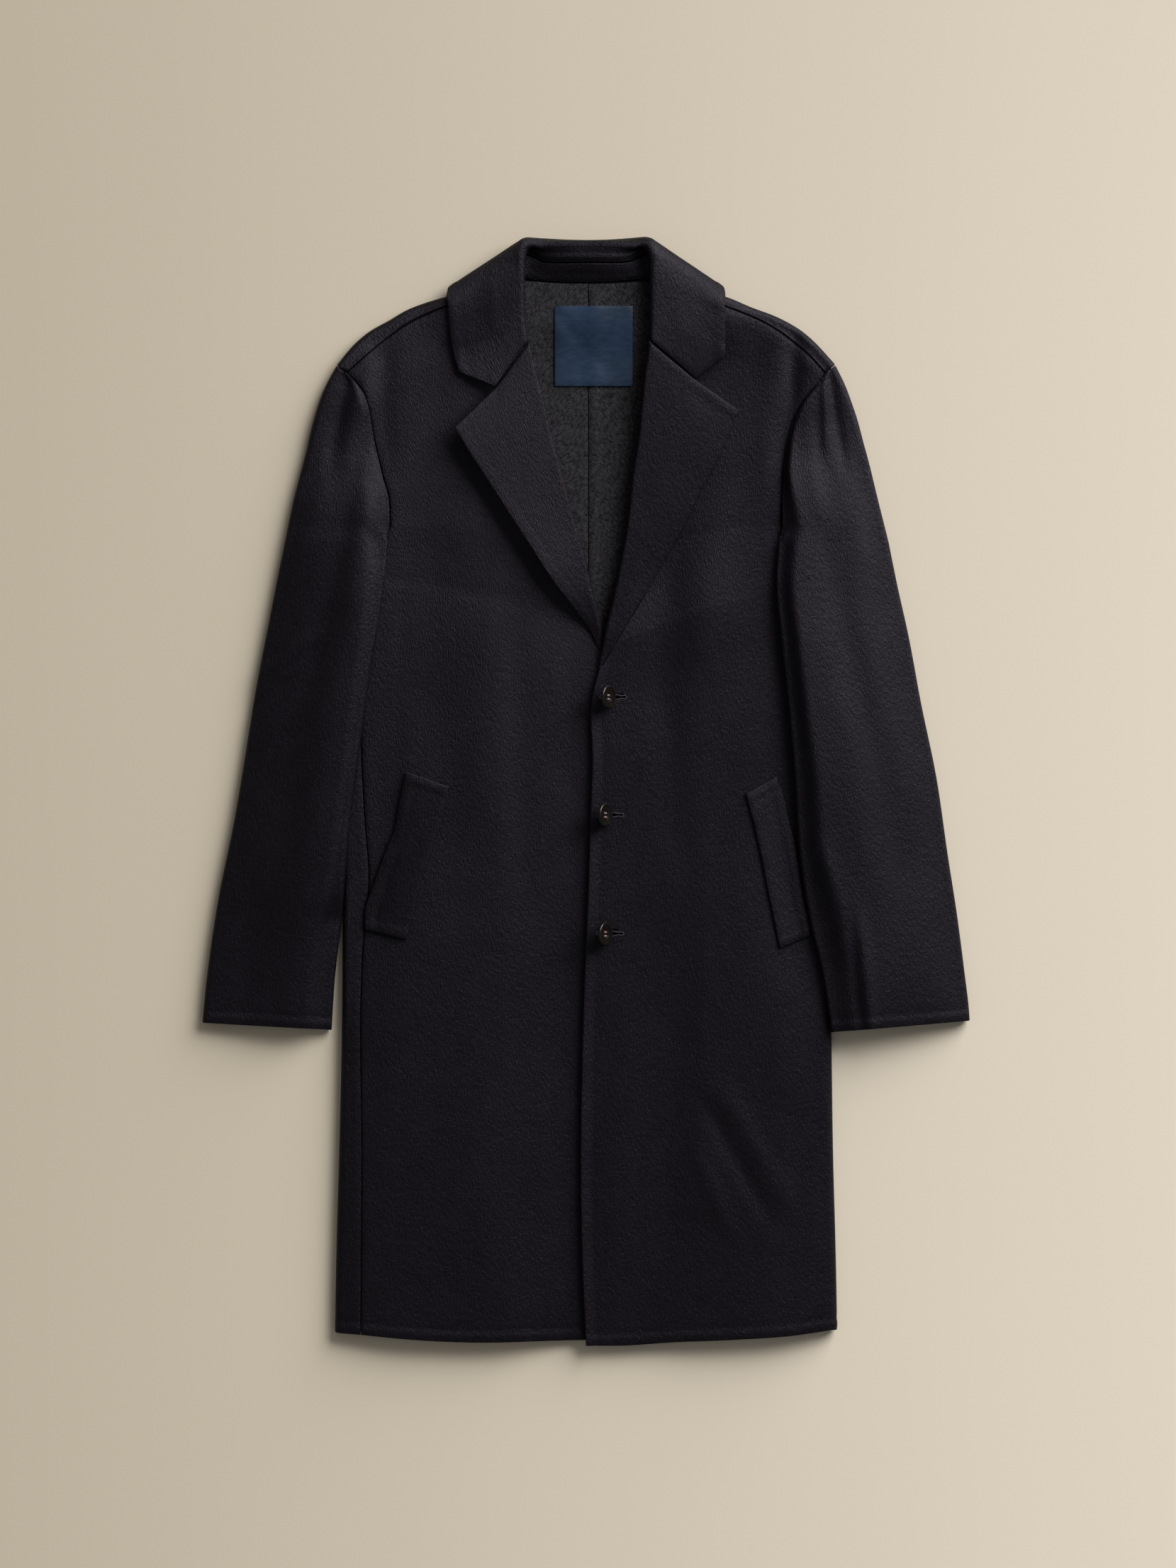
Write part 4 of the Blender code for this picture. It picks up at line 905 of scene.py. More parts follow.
@dataclass
class ClothPiece:
    """One cut piece of cloth with its thickness, its finishes and what it stands for."""

    node: str
    thickness: float
    outer: Material
    rests_on: tuple[str, ...]
    inner: Material | None = None
    slot: str = "navy_wool"
    outside_up: bool = True
    softening: float = 1.05
    shortest_softened: float = 1.4

    @property
    def name(self) -> str:
        """Name of the object that stands for the node."""
        return self.node + "_cloth"

    def build(self, grid: Array, strips: Sequence[tuple[Array, bool]] = (), swell: Array | None = None,
              cutters: Callable[[BMesh], None] | None = None) -> Object:
        """Make the piece as a wall on its outer face.

        Args:
            grid: Points of the outer face, rows by columns, in mm.
            strips: Further grids that share a run of points with the first, each with whether it
                lies beside it.
            swell: Extra thickness at each point of the first grid, in mm.
            cutters: Call that adds closed shapes to a bmesh; they are cut out of the finished wall.

        Returns:
            The object, which rides on the root and is declared as a sheet.
        """
        cut = Cut()
        bm = bmesh.new()
        uv = bm.loops.layers.uv.new("cloth")
        wall_share = bm.verts.layers.deform.verify()
        most = self.thickness + (0.0 if swell is None else float(swell.max()))
        for number, (points, beside) in enumerate([(grid, True), *strips]):
            cut.add(points, beside)
            rows, columns = points.shape[:2]
            u = run_across(points)
            u = u - u[:, columns // 2][:, None] + points[rows // 2, columns // 2, 0]
            v = distances(points) + points[0, columns // 2, 1]
            thick = np.full((rows, columns), self.thickness)
            if number == 0 and swell is not None:
                thick = thick + swell
            for vertex, row, column in unit_grid(bm, rows, columns):
                vertex.co = Vector(points[row, column]) * MM
                vertex[wall_share][0] = thick[row, column] / most
                for loop in vertex.link_loops:
                    loop[uv].uv = (u[row, column] * MM, v[row] * MM)
        bmesh.ops.remove_doubles(bm, verts=bm.verts, dist=0.01 * MM)
        softened = bm.edges.layers.float.new("bevel_weight_edge")
        for edge in bm.edges:
            edge[softened] = float(edge.is_boundary and edge.calc_length() > self.shortest_softened * MM)
        if not self.outside_up:
            bmesh.ops.reverse_faces(bm, faces=bm.faces)
        piece = linked(bm, self.name, (self.outer, self.inner or self.outer))
        wall_group = piece.vertex_groups.new(name="wall")
        wall = piece.modifiers.new("Wall", "SOLIDIFY")
        wall.thickness = most * MM
        wall.offset = -1
        wall.material_offset = 1
        wall.material_offset_rim = 0
        wall.vertex_group = wall_group.name
        soft = piece.modifiers.new("Soft edges", "BEVEL")
        soft.width = self.softening * MM
        soft.segments = 3
        soft.limit_method = "WEIGHT"
        soft.use_clamp_overlap = False
        if cutters:
            cut_through(piece, cutters)
        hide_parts(self.node)
        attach(piece, "root")
        round(min(cut.area, cut.width * cut.length), 5)
        log.info("%s: cloth %.3f by %.3f m, %.4f square metres", self.name, cut.width, cut.length, cut.area)
        return piece


@dataclass(frozen=True)
class Finishes:
    """The materials of the coat."""

    wool: Material
    charcoal: Material
    satin: Material
    horn: Material
    thread: Material
    stitching: Material


# ---- Fronts and backs ----

@dataclass
class Panel:
    """What the fronts and the backs have in common: the body's form and the spacing of its rows."""

    body: Body
    side: Side
    finishes: Finishes
    pitch: float = 4.6
    side_length: float = 740.0
    side_hem_y: float = -531.0
    under_side: float = 18.0
    hook: Array = field(default_factory=lambda: even(13))
    scye: Array = field(default_factory=lambda: even(37))

    @property
    def lower(self) -> Array:
        """Shares of the rows from the hem to the armpit."""
        return steps(self.side_length, self.pitch, first=True)

    def rolling_side(self) -> Array:
        """Points up the line where the side starts to roll, from the hem to the armpit."""
        return self.body.side[self.side].start_at(lerp(self.side_hem_y, ARMPIT_Y, self.lower))


@dataclass
class Front(Panel):
    """A front, from the hem to the shoulder seam; the left one rolls under at its side."""

    buttonholes: tuple[Pair, ...] = ()
    width: float = 265.0
    behind_roll: float = 3.5
    edge_rise: float = 2.4
    edge_reach: float = 5.0

    def boundaries(self) -> tuple[Array, Array]:
        """Boundaries, from the hem to the shoulder.

        Returns:
            Points of the outer one and of the inner one.
        """
        right = self.side is RIGHT
        lower = curve(SIDE_SEAM, self.lower) if right else self.rolling_side()
        outer = join(lower, curve(ARMPIT_HOOK[self.side], self.hook), curve(SCYE[self.side], self.scye))
        moved = moved_aside(outer, self.body.into_front(self.side))
        if not right:
            moved[:len(lower)] = lower
        roll = np.array(ROLL_LINE[self.side]) + (self.side.sign * self.behind_roll, 0)
        upper = np.concatenate([[FRONT_EDGE[self.side][-1]], roll, FRONT_NECK[self.side]])
        upper_rows = even(len(self.hook) + len(self.scye) - 1)
        return moved, join(curve(FRONT_EDGE[self.side], self.lower), curve(upper, upper_rows))

    def borders(self, outer: Rim, inner: Rim, rows: int) -> list[Border]:
        """Turned hem and front edge, and the seams at the scye, the shoulder and the side.

        Args:
            outer: Rim at the side of the body.
            inner: Rim at the front edge.
            rows: Number of rows of the grid.

        Returns:
            One border for each rim.
        """
        above_hem = np.arange(rows) >= len(self.lower) - 1
        free = 1 - ramp(np.arange(rows), len(self.lower) - 8, len(self.lower))
        lower_seam = 0.3 + 0.7 * ramp(np.arange(rows), 0.35 * len(self.lower), 0.6 * len(self.lower))
        sewn = lower_seam if self.side is RIGHT else above_hem.astype(float)
        return [Border(Rim.FIRST_ROW, Edge.TURNED), Border(Rim.LAST_ROW, Edge.SEAM),
                Border(outer, Edge.SEAM, sewn), Border(inner, Edge.TURNED, free)]

    def build(self) -> Object:
        """Make the front on its form and cut its buttonholes."""
        body, side = self.body, self.side
        outer, inner = self.boundaries()
        columns = steps(self.width, self.pitch, last=True)
        top = body.shoulder_seam(side, 1, columns)
        top[0], top[-1] = outer[-1], inner[-1]
        cloth = ClothPiece(f"front_{side.value}", body.cloth, self.finishes.wool, (f"back_{side.value}",),
                           inner=self.finishes.charcoal)
        if side is RIGHT:
            hem = curve(HEM[side], columns)
            hem[0], hem[-1] = outer[0], inner[0]
            flat = patch(outer, inner, hem, top)
            grid = raised(flat, body.top(flat[..., 0], flat[..., 1], side))
            return cloth.build(edged(grid, self.borders(Rim.FIRST_COLUMN, Rim.LAST_COLUMN, len(grid))))
        hem = curve(HEM[side], 1 - columns[::-1])
        hem[0], hem[-1] = inner[0], outer[0]
        flat = patch(inner, outer, hem, top[::-1])
        grid = raised(flat, body.top(flat[..., 0], flat[..., 1], side))
        lifted = bump(flat[..., 0] - flat[:, :1, 0], 0, self.edge_reach)
        grid[..., 2] += self.edge_rise * lifted * (1 - ramp(flat[..., 1], 105, 140))
        grid = edged(grid, self.borders(Rim.LAST_COLUMN, Rim.FIRST_COLUMN, len(grid)))
        base = outer[:len(self.lower)]
        under = base + (math.pi * body.fold_radius + self.under_side, 0)
        strip = body.rolled(body.side[side], base, under, side, from_top=True).swapaxes(0, 1)
        fading = 1 - ramp(np.arange(strip.shape[1]), 5, 13)
        strip = edged(strip, [Border(Rim.FIRST_ROW, Edge.TURNED, fading)])
        strip[:, 0] = grid[:len(base), -1]
        return cloth.build(grid, [(strip, True)], cutters=self.cut_buttonholes)

    def cut_buttonholes(self, bm: BMesh) -> None:
        """Add the cutters of the buttonholes."""
        for x, y in self.buttonholes:
            Buttonhole(self.body, x, y, self.finishes).add_cutter(bm)


@dataclass
class Back(Panel):
    """Half of the back, rolled over the shoulder and, at the wearer's right, over the side."""

    side_hem_y: float = -533.0
    centre_x: float = 2.0
    hem_y: float = -534.0
    neck_y: float = 501.0
    neck_length: float = 90.0
    neck_pitch: float = 4.2
    shoulder_columns: int = 44
    clear_of_front: float = 0.6
    seam_dip: float = 0.5
    seam_dip_width: float = 1.6

    def build(self) -> Object:
        """Make the half back, with its charcoal face inside the coat."""
        body, side = self.body, self.side
        over_shoulder, over_side = body.shoulder[side], body.side[side]
        seam = body.shoulder_seam(side, -1, even(self.shoulder_columns))
        shoulder = over_shoulder.start(seam)
        lower = self.rolling_side()
        if side is LEFT:
            lower = lower - (self.under_side + self.clear_of_front, 0)
        hook = curve(np.concatenate([[lower[-1]], BACK_HOOK[side]]), self.hook)
        scye = curve(np.concatenate([BACK_SCYE[side], [shoulder[0]]]), self.scye)
        outer = join(lower, hook, scye)
        centre_x = self.centre_x + side.sign * body.seam / 2
        upper = shares_of(outer[len(lower) - 1:])
        heights = join(lerp(self.hem_y, ARMPIT_Y, self.lower), lerp(ARMPIT_Y, self.neck_y, upper))
        centre = np.stack([np.full(len(heights), centre_x), heights], axis=1)
        neck = np.concatenate([BACK_NECK[side], [shoulder[-1]]])
        neck[0, 0] = centre_x
        top = join(curve(neck, steps(self.neck_length, self.neck_pitch)), shoulder[::-1])
        top[0] = centre[-1]
        columns = shares_of(top)
        hem = lerp(centre[:1], outer[:1], columns[:, None])
        flat = patch(centre, outer, hem, top)
        grid = raised(flat, body.lift(flat[..., 0], flat[..., 1]))
        rim = (1 - ramp(columns[None], 0.94, 1.0)) * (1 - 0.9 * ramp(flat[..., 1], 494, self.neck_y))
        dip = self.seam_dip * bump(flat[..., 0], self.centre_x, self.seam_dip_width)
        swell = (body.swell(flat[..., 0], flat[..., 1]) - dip) * rim
        over = body.rolled(over_shoulder, shoulder, over_shoulder.unroll(seam), side, from_top=False)
        over = edged(over[:, ::-1], [Border(Rim.LAST_ROW, Edge.SEAM)], side.sign)
        strips = [(over, False)]
        if side is RIGHT:
            flat_seam = over_side.unroll(moved_aside(curve(SIDE_SEAM, self.lower), body.seam / 2))
            wrap = body.rolled(over_side, lower, flat_seam, side, from_top=False).swapaxes(0, 1)
            growing = ramp(np.arange(wrap.shape[1]), 4, 13)
            wrap = edged(wrap, [Border(Rim.FIRST_ROW, Edge.TURNED, growing),
                                Border(Rim.LAST_COLUMN, Edge.SEAM)])
            strips.append((wrap, True))
        cloth = ClothPiece(f"back_{side.value}", body.cloth, self.finishes.wool, ("floor",),
                           inner=self.finishes.charcoal, slot="charcoal_wool", outside_up=side is RIGHT)
        return cloth.build(grid, strips, swell=swell)


# ---- Sleeves ----

QUARTERS: Array = np.array([0.25, 0.5, 0.75])


@dataclass
class Sleeve:
    """Two-piece sleeve that lies pressed flat, its inner edge on the body or beside it."""

    body: Body
    side: Side
    finishes: Finishes
    pitch: float = 4.6
    outer_rise: float = 11.5
    strip: float = 16.0
    roll_columns: int = 7
    top_columns: int = 34
    outer_columns: int = 11
    under_columns: int = 16
    on_body: float = 12.3
    head_rise: float = 5.4
    cap_share: float = 0.12
    under_gap: float = 0.8
    under_clear: float = 0.75
    under_short: int = 6
    scye: Array = field(default_factory=lambda: even(37))

    def lower_rows(self) -> Array:
        """Rows of the table, faired at an even pitch, with closer ones at the cuff."""
        table = np.array(SLEEVE[self.side], float)
        place = distances(table[:, :2])
        rows = faired(table, steps(place[-1], self.pitch, first=True) * place[-1], place)
        rows[:, 4] = np.clip(rows[:, 4], 0, self.on_body)
        return rows

    def cap_rows(self) -> Array:
        """Rows beside the scye up to the shoulder."""
        gap = -self.body.into_front(self.side) * (1 + ramp(self.scye, 0.7, 1))
        inner = moved_aside(curve(SCYE[self.side], self.scye), gap)
        outer = curve(SLEEVE_HEAD[self.side], self.scye)
        seam = self.body.top(inner[:, 0], inner[:, 1], self.side)
        seam = seam + self.head_rise * (1 - ramp(self.scye, 0, 0.5))
        ridge_at, high = (lerp(*pair, ramp(self.scye, 0, 0.35)) for pair in HEAD_RIDGE[self.side])
        ridge = seam + high * (1 - smooth(self.scye))
        return np.column_stack([inner, outer, seam, np.zeros(len(inner)),
                                lerp(ridge_at, 4, self.scye), ridge])

    def strip_profile(self, row: Array) -> list[Pair]:
        """Strip below the inner roll, from its seam in to the roll.

        Args:
            row: Row of the sleeve's table.

        Returns:
            Places across and heights.
        """
        beyond = float(self.body.side_x(row[0], row[1])) - abs(row[0])
        armpit = float(ramp(row[1], ARMPIT_Y, 244))
        start = row[5] / 2 + 0.1
        slope_from = max(lerp(beyond - 1, 14, armpit), start + 3)
        slope_to = max(lerp(beyond + 15, 32, armpit), slope_from + 12)
        low = 4.0 * armpit
        places = np.concatenate([[slope_to + 5], np.linspace(slope_to, slope_from, 9)])
        shares = ramp(places, slope_from, slope_to)
        return [(q, lerp(row[4], low, share)) for q, share in zip(places, shares)]

    def section(self, row: Array, in_cap: bool) -> tuple[Array, Array]:
        """Points of the sleeve across one row.

        Args:
            row: Row of the sleeve's table or of its cap.
            in_cap: Whether it is sewn to the body, and so has no strip.

        Returns:
            Points of the top sleeve, and of the strip below its inner roll.
        """
        inner, outer = row[0:2], row[2:4]
        rest, thick, ridge_at, ridge_z = row[4:]
        roll = thick / 2
        width = float(np.linalg.norm(outer - inner))
        across = (outer - inner) / width
        edge_roll = min(self.outer_rise / 2, width * 0.5)
        edge_rise = lerp(2 * self.body.fold_radius, self.outer_rise, float(ramp(width, 15, 60)))
        start = rest + thick

        def height(q: Array) -> Array:
            """Height of the upper face at a distance from the inner edge."""
            rising = lerp(start, ridge_z, ramp(q, roll, max(ridge_at, roll + 2)))
            falling = np.clip((q - ridge_at) / (width - edge_roll - ridge_at), 0, 1)
            return lerp(rising, edge_rise, falling ** 1.6)

        def turned(angles: Array) -> list[Pair]:
            """Places and heights round the inner roll, at angles from its top."""
            return [(roll * (1 - math.sin(a)), lerp(start, rest, (1 - math.cos(a)) / 2)) for a in angles]

        strip = []
        if in_cap:
            first = np.linspace(0, self.cap_share, self.roll_columns) * (width - edge_roll)
            places = [(q, float(height(q))) for q in first]
        else:
            angles = np.linspace(1, 0.5, self.roll_columns) * math.pi
            strip = self.strip_profile(row)
            strip += [(q, rest) for q in np.linspace(strip[-1][0], roll, 4)[1:-1]]
            strip += turned(angles)
            places = turned(angles - math.pi / 2)
        first_q = places[-1][0]
        for q in lerp(first_q, width - edge_roll, even(self.top_columns + 1)[1:]):
            places.append((q, float(height(q))))
        top = float(height(width - edge_roll))
        for a in np.linspace(0, math.pi, self.outer_columns)[1:]:
            places.append((width - edge_roll * (1 - math.sin(a)), lerp(top, 0, (1 - math.cos(a)) / 2)))
        reach = min(self.strip, width * 0.3)
        places += [(width - edge_roll - reach * share, 0.0) for share in (0.33, 0.66, 1)]
        runs = []
        for run in (places, strip):
            q, z = np.array(run).T if run else (np.zeros(0), np.zeros(0))
            runs.append(np.column_stack([inner + across * q[:, None], z]))
        return runs[0], runs[1]

    def build(self) -> None:
        """Make the top sleeve and the under sleeve."""
        side, body = self.side, self.body
        lower, cap = self.lower_rows(), self.cap_rows()
        lower_sections = [self.section(row, False) for row in lower]
        cap_sections = np.array([self.section(row, True)[0] for row in cap])
        below = np.array([section[0] for section in lower_sections])
        strip = np.array([section[1] for section in lower_sections])
        bridge = lerp(below[-1][None], cap_sections[0][None], QUARTERS[:, None, None])
        grid = np.concatenate([below, bridge, cap_sections])
        outwards = side.sign
        normal_z = normals_of(grid)[..., 2] * outwards
        upwards = smooth((normal_z - 0.15) / 0.5)
        in_cap = np.arange(len(grid)) >= len(below)
        from_seam = np.where(in_cap[:, None], ramp(run_across(grid), 0, 9), 1.0)
        x, y = grid[..., 0], grid[..., 1]
        rise = creased(SLEEVE_CREASES[side], x, y) + ripple(x + 40, y)
        grid[..., 2] += rise * upwards * from_seam
        grid = edged(grid, [Border(Rim.FIRST_ROW, Edge.TURNED, upwards[0]),
                            Border(Rim.FIRST_COLUMN, Edge.SEAM, in_cap.astype(float))], outwards)
        strip[:, -1] = grid[:len(below), 0]
        top = ClothPiece(f"sleeve_top_{side.value}", body.cloth, self.finishes.wool,
                         (f"front_{side.value}", "floor"), self.finishes.charcoal, outside_up=side is LEFT)
        top.build(grid, [(strip, True)])
        self.build_under(grid, strip)

    def build_under(self, grid: Array, strip: Array) -> None:
        """Make the under sleeve between the two strips of the top sleeve.

        Args:
            grid: Points of the top sleeve.
            strip: Points of the strip below its inner roll.
        """
        side, body = self.side, self.body
        strip_end = strip[:, 0, :2] + (side.sign * self.under_gap, 0)
        shoulder = body.shoulder[side].start(body.shoulder_seam(side, -1, np.array([0.0, 1.0]))[:1])
        scye = curve(np.concatenate([BACK_SCYE[side], shoulder]), self.scye)
        scye = moved_aside(scye, -side.sign * self.under_clear)
        bridge = lerp(strip_end[-1][None], scye[:1], QUARTERS[:, None])
        inner = np.concatenate([strip_end, bridge, scye])[:-self.under_short]
        outer = grid[:-self.under_short, -1, :2] - (side.sign * body.seam, 0)
        flat = lerp(inner[:, None], outer[:, None], even(self.under_columns)[None, :, None])
        cloth = ClothPiece(f"sleeve_under_{side.value}", body.cloth, self.finishes.wool, ("floor",),
                           inner=self.finishes.charcoal, outside_up=side is RIGHT)
        cloth.build(raised(flat, np.zeros(flat.shape[:2])))


# ---- Collar and lapels ----

def bent_path(start: Array, direction: Array, end: Array, shares: Array) -> Array:
    """Smooth path that leaves its start in a given direction and runs out to its end."""
    most = 24.0
    out = direction * min(float(np.linalg.norm(end - start)), most)
    return cubic(start, out, end, (end - start) * 0.9, shares[:, None])


def gorge(side: Side, section: Array, first: int, gap: float) -> tuple[Array, int]:
    """Section whose free part runs down the gorge seam, round the notch and on to its corner.

    Args:
        side: Side of the coat.
        section: Points across the collar or the lapel.
        first: First of them that lies on the gorge.
        gap: Distance that the section is moved off the seam.

    Returns:
        The section, and the number of its point at the notch.
    """
    start, corner = section[first], section[-1]
    notch = np.array(NOTCH[side])
    section = section.copy()
    sewn, free = np.linalg.norm(notch - start), np.linalg.norm(corner - notch)
    count = len(section) - first
    corner_at = max(2, min(count - 3, round(count * sewn / (sewn + free))))
    run = join(lerp(start, notch, even(corner_at + 1)[:, None]),
               lerp(notch, corner, even(count - corner_at)[:, None]))
    section[first:] = run
    down = notch[:2] - start[:2]
    section[:, :2] += gap * np.array([-down[1], down[0]]) / np.linalg.norm(down)
    return section, first + corner_at


@dataclass
class Collar:
    """Collar of one fall that rolls over its stand, from leaf to leaf."""

    body: Body
    finishes: Finishes
    cloth: float = 2.6
    turned: float = 3.0
    clear: float = 2.2
    stand_clear: float = 1.5
    inside_points: int = 25
    joint: int = 9
    arc_points: int = 14
    outside_points: int = 24
    stand_points: int = 14
    stand_gap: float = 0.7
    between: int = 4
    pressed_lines: tuple[Triple, ...] = ((0.5, 6.5, 2.2), (-0.5, 11.0, 2.6))

    def clear_of_body(self, points: Array, lean: float, side: Side, gap: float | Array) -> Array:
        """Points kept above the fronts or below the back.

        Args:
            points: Points across the collar.
            lean: How far the collar leans over at its station, in degrees.
            side: Side of the coat.
            gap: Distance to keep.

        Returns:
            The moved points.
        """
        x, y, z = points.T
        if lean >= 110:
            z = np.maximum(z, self.body.over(x, y, side, gap))
        elif lean <= 80:
            z = np.minimum(z, self.body.under(x, y, side, gap))
        return np.column_stack([x, y, np.maximum(z, 0.0)])

    def section(self, station: Station) -> tuple[Array, Array]:
        """Points across the collar at one station.

        Args:
            station: Row of the collar's table.

        Returns:
            Points of the fall and of the stand, each from its neck side.
        """
        side = RIGHT if station.roll[0] < 0 else LEFT
        lean, heading = math.radians(station.lean), math.radians(station.heading)
        level, up = np.array([math.cos(heading), math.sin(heading), 0]), np.array([0, 0, 1.0])
        tip = math.cos(lean) * level + math.sin(lean) * up
        fall_side = math.sin(lean) * level - math.cos(lean) * up
        centre = np.array(station.roll) - station.radius * tip
        neck, edge = np.array(station.neck), np.array(station.edge)
        pressed = 1 - float(ramp(station.lean, 40, 90))
        inside = bent_path(centre - station.radius * (1 - 0.3 * pressed) * fall_side, -tip, neck,
                           even(self.inside_points))
        if station.lean >= 130:
            inside = self.clear_of_body(inside, station.lean, side, self.stand_clear)
        angles = np.radians(np.linspace(-90, 90, self.arc_points))[:, None]
        squared = np.where(angles < 0, 1 - 0.4 * pressed, 1.0)
        out, up = np.cos(angles) ** squared, np.sign(angles) * np.abs(np.sin(angles)) ** squared
        up = up * (1 - 0.3 * pressed * (angles < 0) * (1 - out) ** 2)
        arc = centre + station.radius * (out * tip + up * fall_side)
        outside = bent_path(arc[-1], -tip, edge, even(self.outside_points)[1:])
        over_stand = self.cloth * (1 - ramp(np.abs(outside[:, 0]), 90, 104))
        outside = self.clear_of_body(outside, station.lean, side, self.turned + self.clear + over_stand)
        joint = inside[self.joint]
        below = (inside[-1] - joint) / np.linalg.norm(inside[-1] - joint) * self.stand_gap
        stand = np.concatenate([[joint + below], inside[self.joint + 3:]])
        fall = np.concatenate([inside[self.joint:0:-1], arc, outside])
        return fall, along(stand, even(self.stand_points))

    def fine(self, sections: Array) -> Array:
        """Sections with others faired between them; the first and last gaps stay straight.

        Args:
            sections: Sections at the stations.

        Returns:
            All the sections.
        """
        place = distances(sections)
        shares = even(self.between + 1)
        places = [lerp(a, b, shares[1:]) for a, b in zip(place[1:-2], place[2:-1])]
        middle = faired(sections[1:-1], np.concatenate([[place[1]], *places]) - place[1])
        start = lerp(sections[0][None], sections[1][None], shares[:-1, None, None])
        end = lerp(sections[-2][None], sections[-1][None], shares[1:, None, None])
        return np.concatenate([start, middle, end])

    def build(self) -> None:
        """Make the fall with its roll, and the stand below it."""
        sections = [self.section(station) for station in COLLAR]
        fall = np.array([section[0] for section in sections])
        stand = np.array([section[1] for section in sections])
        first = self.joint + self.arc_points - 1
        fall[0], notch = gorge(RIGHT, fall[0], first, -0.5)
        fall[-1], _ = gorge(LEFT, fall[-1], first, 0.5)
        grid = self.fine(fall)
        x, y = grid[..., 0], grid[..., 1]
        outside = ramp(np.arange(grid.shape[1]), first, first + 6)[None]
        uneven = np.where(np.abs(x) > 70, ripple(x * 1.4, y * 1.4) * outside, 0)
        grid[..., 2] = np.maximum(grid[..., 2] + uneven * ramp(grid[..., 2], 2, 8), 0.5)
        grid = self.pressed(grid)
        columns = np.arange(grid.shape[1])
        free = ramp(columns, notch - 2, notch + 3)
        sewn = (columns >= first) * (1 - free)
        rows = np.arange(len(grid))
        ends = ramp(rows, 0, 3) * ramp(rows[::-1], 0, 3)
        borders = [Border(Rim.LAST_COLUMN, Edge.TURNED, 1.0), Border(Rim.FIRST_COLUMN, Edge.SEAM, ends)]
        for rim in (Rim.FIRST_ROW, Rim.LAST_ROW):
            borders += [Border(rim, Edge.TURNED, free), Border(rim, Edge.SEAM, sewn)]
        grid = edged(grid, borders, -1)
        ClothPiece("collar_fall", self.turned, self.finishes.wool,
                   ("collar_stand", "front_left", "front_right"), outside_up=False).build(grid)
        under_leaf = 2 * self.between
        inner = self.fine(stand)[under_leaf:-under_leaf]
        inner = edged(inner, [Border(Rim.FIRST_COLUMN, Edge.TURNED, 0.6),
                              Border(Rim.LAST_COLUMN, Edge.SEAM)])
        ClothPiece("collar_stand", self.cloth, self.finishes.wool, ("back_left", "back_right")).build(inner)

    def pressed(self, grid: Array) -> Array:
        """Grid with the soft lines that pressing and wear leave along the roll at the back of the neck."""
        behind = (1 - ramp(np.abs(grid[:, self.joint, 0] - 2), 52, 66))[:, None]
        line = bumps(run_across(grid), self.pressed_lines)
        return grid - normals_of(grid) * (line * behind)[..., None]


class Turn(NamedTuple):
    """How a lapel lies: its lowest point, the lift of its edge, its fullness and where it grows."""

    tip: Pair
    edge_lift: float
    fullness: float
    roll_low: float
    edge_ridge: float
    grown_row: int


